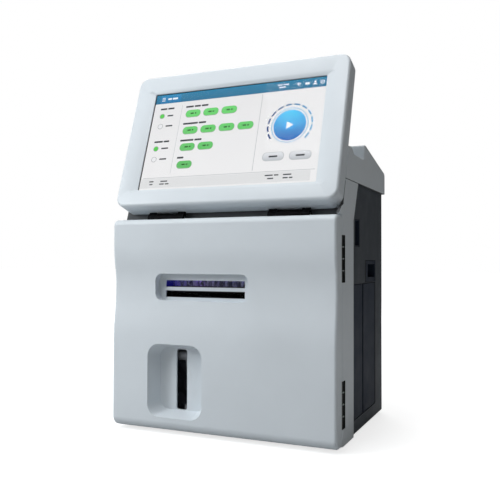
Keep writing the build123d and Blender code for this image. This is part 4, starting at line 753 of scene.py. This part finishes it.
def add_buttons(rims, bodies, places, size, rim_drop=0.0):
    """Pill-shaped buttons, each over a rim that stands out all round it."""
    width, height = size
    for x, y in places:
        rounded_plate(rims, (x, y + rim_drop), (width + RIM, height + RIM), height / 2)
        rounded_plate(bodies, (x, y), size, height / 2 - CORNER_SLACK, INK)


def screen_pills():
    """Green buttons, each with its rim and two dark strokes."""
    places = [
        (PILL_COLUMNS[n], row) for row, count in zip(PILL_ROWS, PILLS_IN_ROW) for n in range(count)
    ]
    rims, bodies, marks = bmesh.new(), bmesh.new(), bmesh.new()
    add_buttons(rims, bodies, places, PILL_SIZE, rim_drop=0.3)
    for x, y in places:
        add_strokes(marks, x + PILL_MARK_LEFT, y, PILL_MARKS, PILL_MARK_HEIGHT, 2)
    screen_piece("screen_pill_rims", rims)
    screen_piece("screen_pills", bodies)
    screen_piece("screen_pill_marks", marks)


def screen_radios():
    """Two pairs of radio buttons, the upper one of each pair switched on."""
    rings, on, off = bmesh.new(), bmesh.new(), bmesh.new()
    for n, y in enumerate(RADIO_ROWS):
        disc(rings, (RADIO_X, y), RADIO_RING, segments=32)
        fill, radius = ((on, RADIO_ON), (off, RADIO_OFF))[n % 2]
        disc(fill, (RADIO_X, y), radius, INK, segments=32)
    screen_piece("screen_radio_rings", rings)
    screen_piece("screen_radios_on", on)
    screen_piece("screen_radios_off", off)


def screen_words():
    """Short strokes on the ground, the grey buttons and the status strip."""
    bm = bmesh.new()
    for strokes in SCREEN_STROKES:
        add_strokes(bm, *strokes)
    screen_piece("screen_words", bm)


def screen_frames():
    """Thin lines between the screen's panels, the grey buttons and the status strip."""
    lines, buttons, status = bmesh.new(), bmesh.new(), bmesh.new()
    for centre, size in LINES:
        rounded_plate(lines, centre, size, 0)
    add_buttons(lines, buttons, GREY_BUTTONS, GREY_SIZE)
    rounded_plate(status, STATUS_CENTRE, STATUS_SIZE, STATUS_RADIUS)
    screen_piece("screen_lines", lines)
    screen_piece("screen_grey_buttons", buttons)
    screen_piece("screen_status", status)


def screen_round_button():
    """Round blue button with its halo, its gloss, its start mark and the dashes round it."""
    x, y = BUTTON_CENTRE
    ring, button, gloss, mark, dashes = (bmesh.new() for _ in range(5))
    arc_band(ring, BUTTON_CENTRE, HALO_RADIUS, HALO_WIDTH, steps=64)
    screen_piece("screen_button_ring", ring)
    disc(button, BUTTON_CENTRE, BUTTON_RADIUS, segments=72)
    screen_piece("screen_button", button)
    disc(gloss, (x, y - GLOSS_RISE), GLOSS_RADIUS, INK)
    screen_piece("screen_button_gloss", gloss)
    corners = bmesh.ops.create_circle(mark, cap_ends=True, radius=START_MARK_RADIUS, segments=3)["verts"]
    bmesh.ops.rotate(mark, matrix=Matrix.Rotation(math.radians(-90), 3, "Z"), verts=corners)
    bmesh.ops.translate(mark, vec=(x + START_MARK_SHIFT, y, INK * 2), verts=corners)
    thicken(mark, [corners[0].link_faces[0]], INK)
    screen_piece("screen_start_mark", mark)
    for n in range(DASH_COUNT):
        middle = DASH_FIRST + (DASH_LAST - DASH_FIRST) * n / (DASH_COUNT - 1)
        start = middle - DASH_SWEEP / 2
        arc_band(dashes, BUTTON_CENTRE, DASH_RADIUS, DASH_WIDTH, start, DASH_SWEEP, steps=6)
    screen_piece("screen_dashes", dashes)


def make_screen():
    """Everything that the lit display shows."""
    screen_ground()
    screen_top_bar()
    screen_bar_signs()
    screen_pills()
    screen_radios()
    screen_words()
    screen_frames()
    screen_round_button()


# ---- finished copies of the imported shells, and the fittings ----------------------------------
def softened(node, body, material, width):
    """Copy of a CAD node with its hard edges rounded as moulding or bending leaves them."""
    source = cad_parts[node]
    bm = bmesh.new()
    bm.from_mesh(source.data)
    bmesh.ops.remove_doubles(bm, verts=bm.verts, dist=SAME_POINT)
    made = piece_from(node + "_finish", bm, body, material, smooth=True)
    bevel = made.modifiers.new("edges", "BEVEL")
    bevel.width = width
    bevel.segments = EDGE_SEGMENTS
    bevel.limit_method = "ANGLE"
    bevel.angle_limit = EDGE_ANGLE
    bevel.use_clamp_overlap = True
    weighted = made.modifiers.new("flats", "WEIGHTED_NORMAL")
    weighted.keep_sharp = True
    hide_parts(node)
    return made


def reline(shell, material, chosen):
    """Gives the chosen faces of a shell another material."""
    if material.name not in shell.data.materials:
        shell.data.materials.append(material)
    place = shell.data.materials.find(material.name)
    for face in shell.data.polygons:
        if chosen(face):
            face.material_index = place


def paint_shade_in_box(shell, material, low, high):
    """Gives the shell's faces centred in a box another material, as painted shade."""
    reline(shell, material, lambda face: all(low[n] < face.center[n] < high[n] for n in range(3)))


def paint_seam_shade(shell, material, height):
    """Darkens the level faces of a parting line with painted shade."""
    reline(
        shell, material,
        lambda face: abs(face.normal.z) > 0.9 and abs(face.center.z - height) < SEAM_REACH,
    )


def hinge_spacers(material):
    """Pale spacers in the gaps between the knuckles of the door's hinges, behind their pins."""
    for number, middle in enumerate(HINGE_MIDDLES, 1):
        bm = bmesh.new()
        for n in (-1, 0, 1):
            place = on_cabinet(SPACER_X, SPACER_DEPTH, middle + n * KNUCKLE_PITCH)
            add_block(bm, SPACER_SIZE, place)
        piece_from("hinge_spacers_%d" % number, bm, "cabinet", material)


def panel_shade_strips(material):
    """Dark strips round the hatch and the finger pull: painted shade along their shadow lines."""
    bm = bmesh.new()
    for x, depth, thick, width, low, high in PANEL_SHADE_STRIPS:
        add_block(bm, (thick, width, high - low), on_cabinet(x, depth, (low + high) / 2))
    piece_from("panel_shade_strips", bm, "cabinet", material)


def give(material, nodes):
    """Puts the material in every slot of the named CAD nodes."""
    for node in nodes:
        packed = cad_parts[node]
        if not packed.material_slots:
            packed.data.materials.append(material)
        for slot in packed.material_slots:
            slot.material = material


def dress_cabinet():
    """Gives every node its finish, paints shade into the neck, the hinge pockets and the parting line,
    and adds the shade strips and the spacers.
    """
    finishes = cabinet_finishes()
    shells = {
        node: softened(node, body, finishes[finish], width)
        for node, body, finish, slot, width in SHELLS
    }
    # the frame's faces round each hinge leaf get the black moulding: painted shade in the hinge pockets
    for leaf in HINGE_LEAVES:
        low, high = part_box(leaf)
        paint_shade_in_box(shells["front_frame"], finishes["black"], low - POCKET_SHADE_MARGIN, high + POCKET_SHADE_MARGIN)
    # painted shade under the head, on the frame and the cover
    for node in ("front_frame", "top_cover"):
        paint_shade_in_box(shells[node], finishes["neck"], *NECK_SHADE_BOX)
    # painted shade along the parting line between the frame and the cover
    paint_seam_shade(shells["front_frame"], finishes["neck"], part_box("front_frame")[1].z)
    paint_seam_shade(shells["top_cover"], finishes["neck"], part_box("top_cover")[0].z)
    for finish, nodes in FITTINGS.items():
        give(finishes[finish], nodes)
    panel_shade_strips(finishes["shade_strip"])
    hinge_spacers(finishes["spacer"])


def main():
    bpy.context.scene.view_settings.view_transform = "Standard"
    make_camera()
    make_world()
    make_floor()
    for lamp in LAMPS:
        soft_box(*lamp)
    dress_cabinet()
    make_screen()


main()
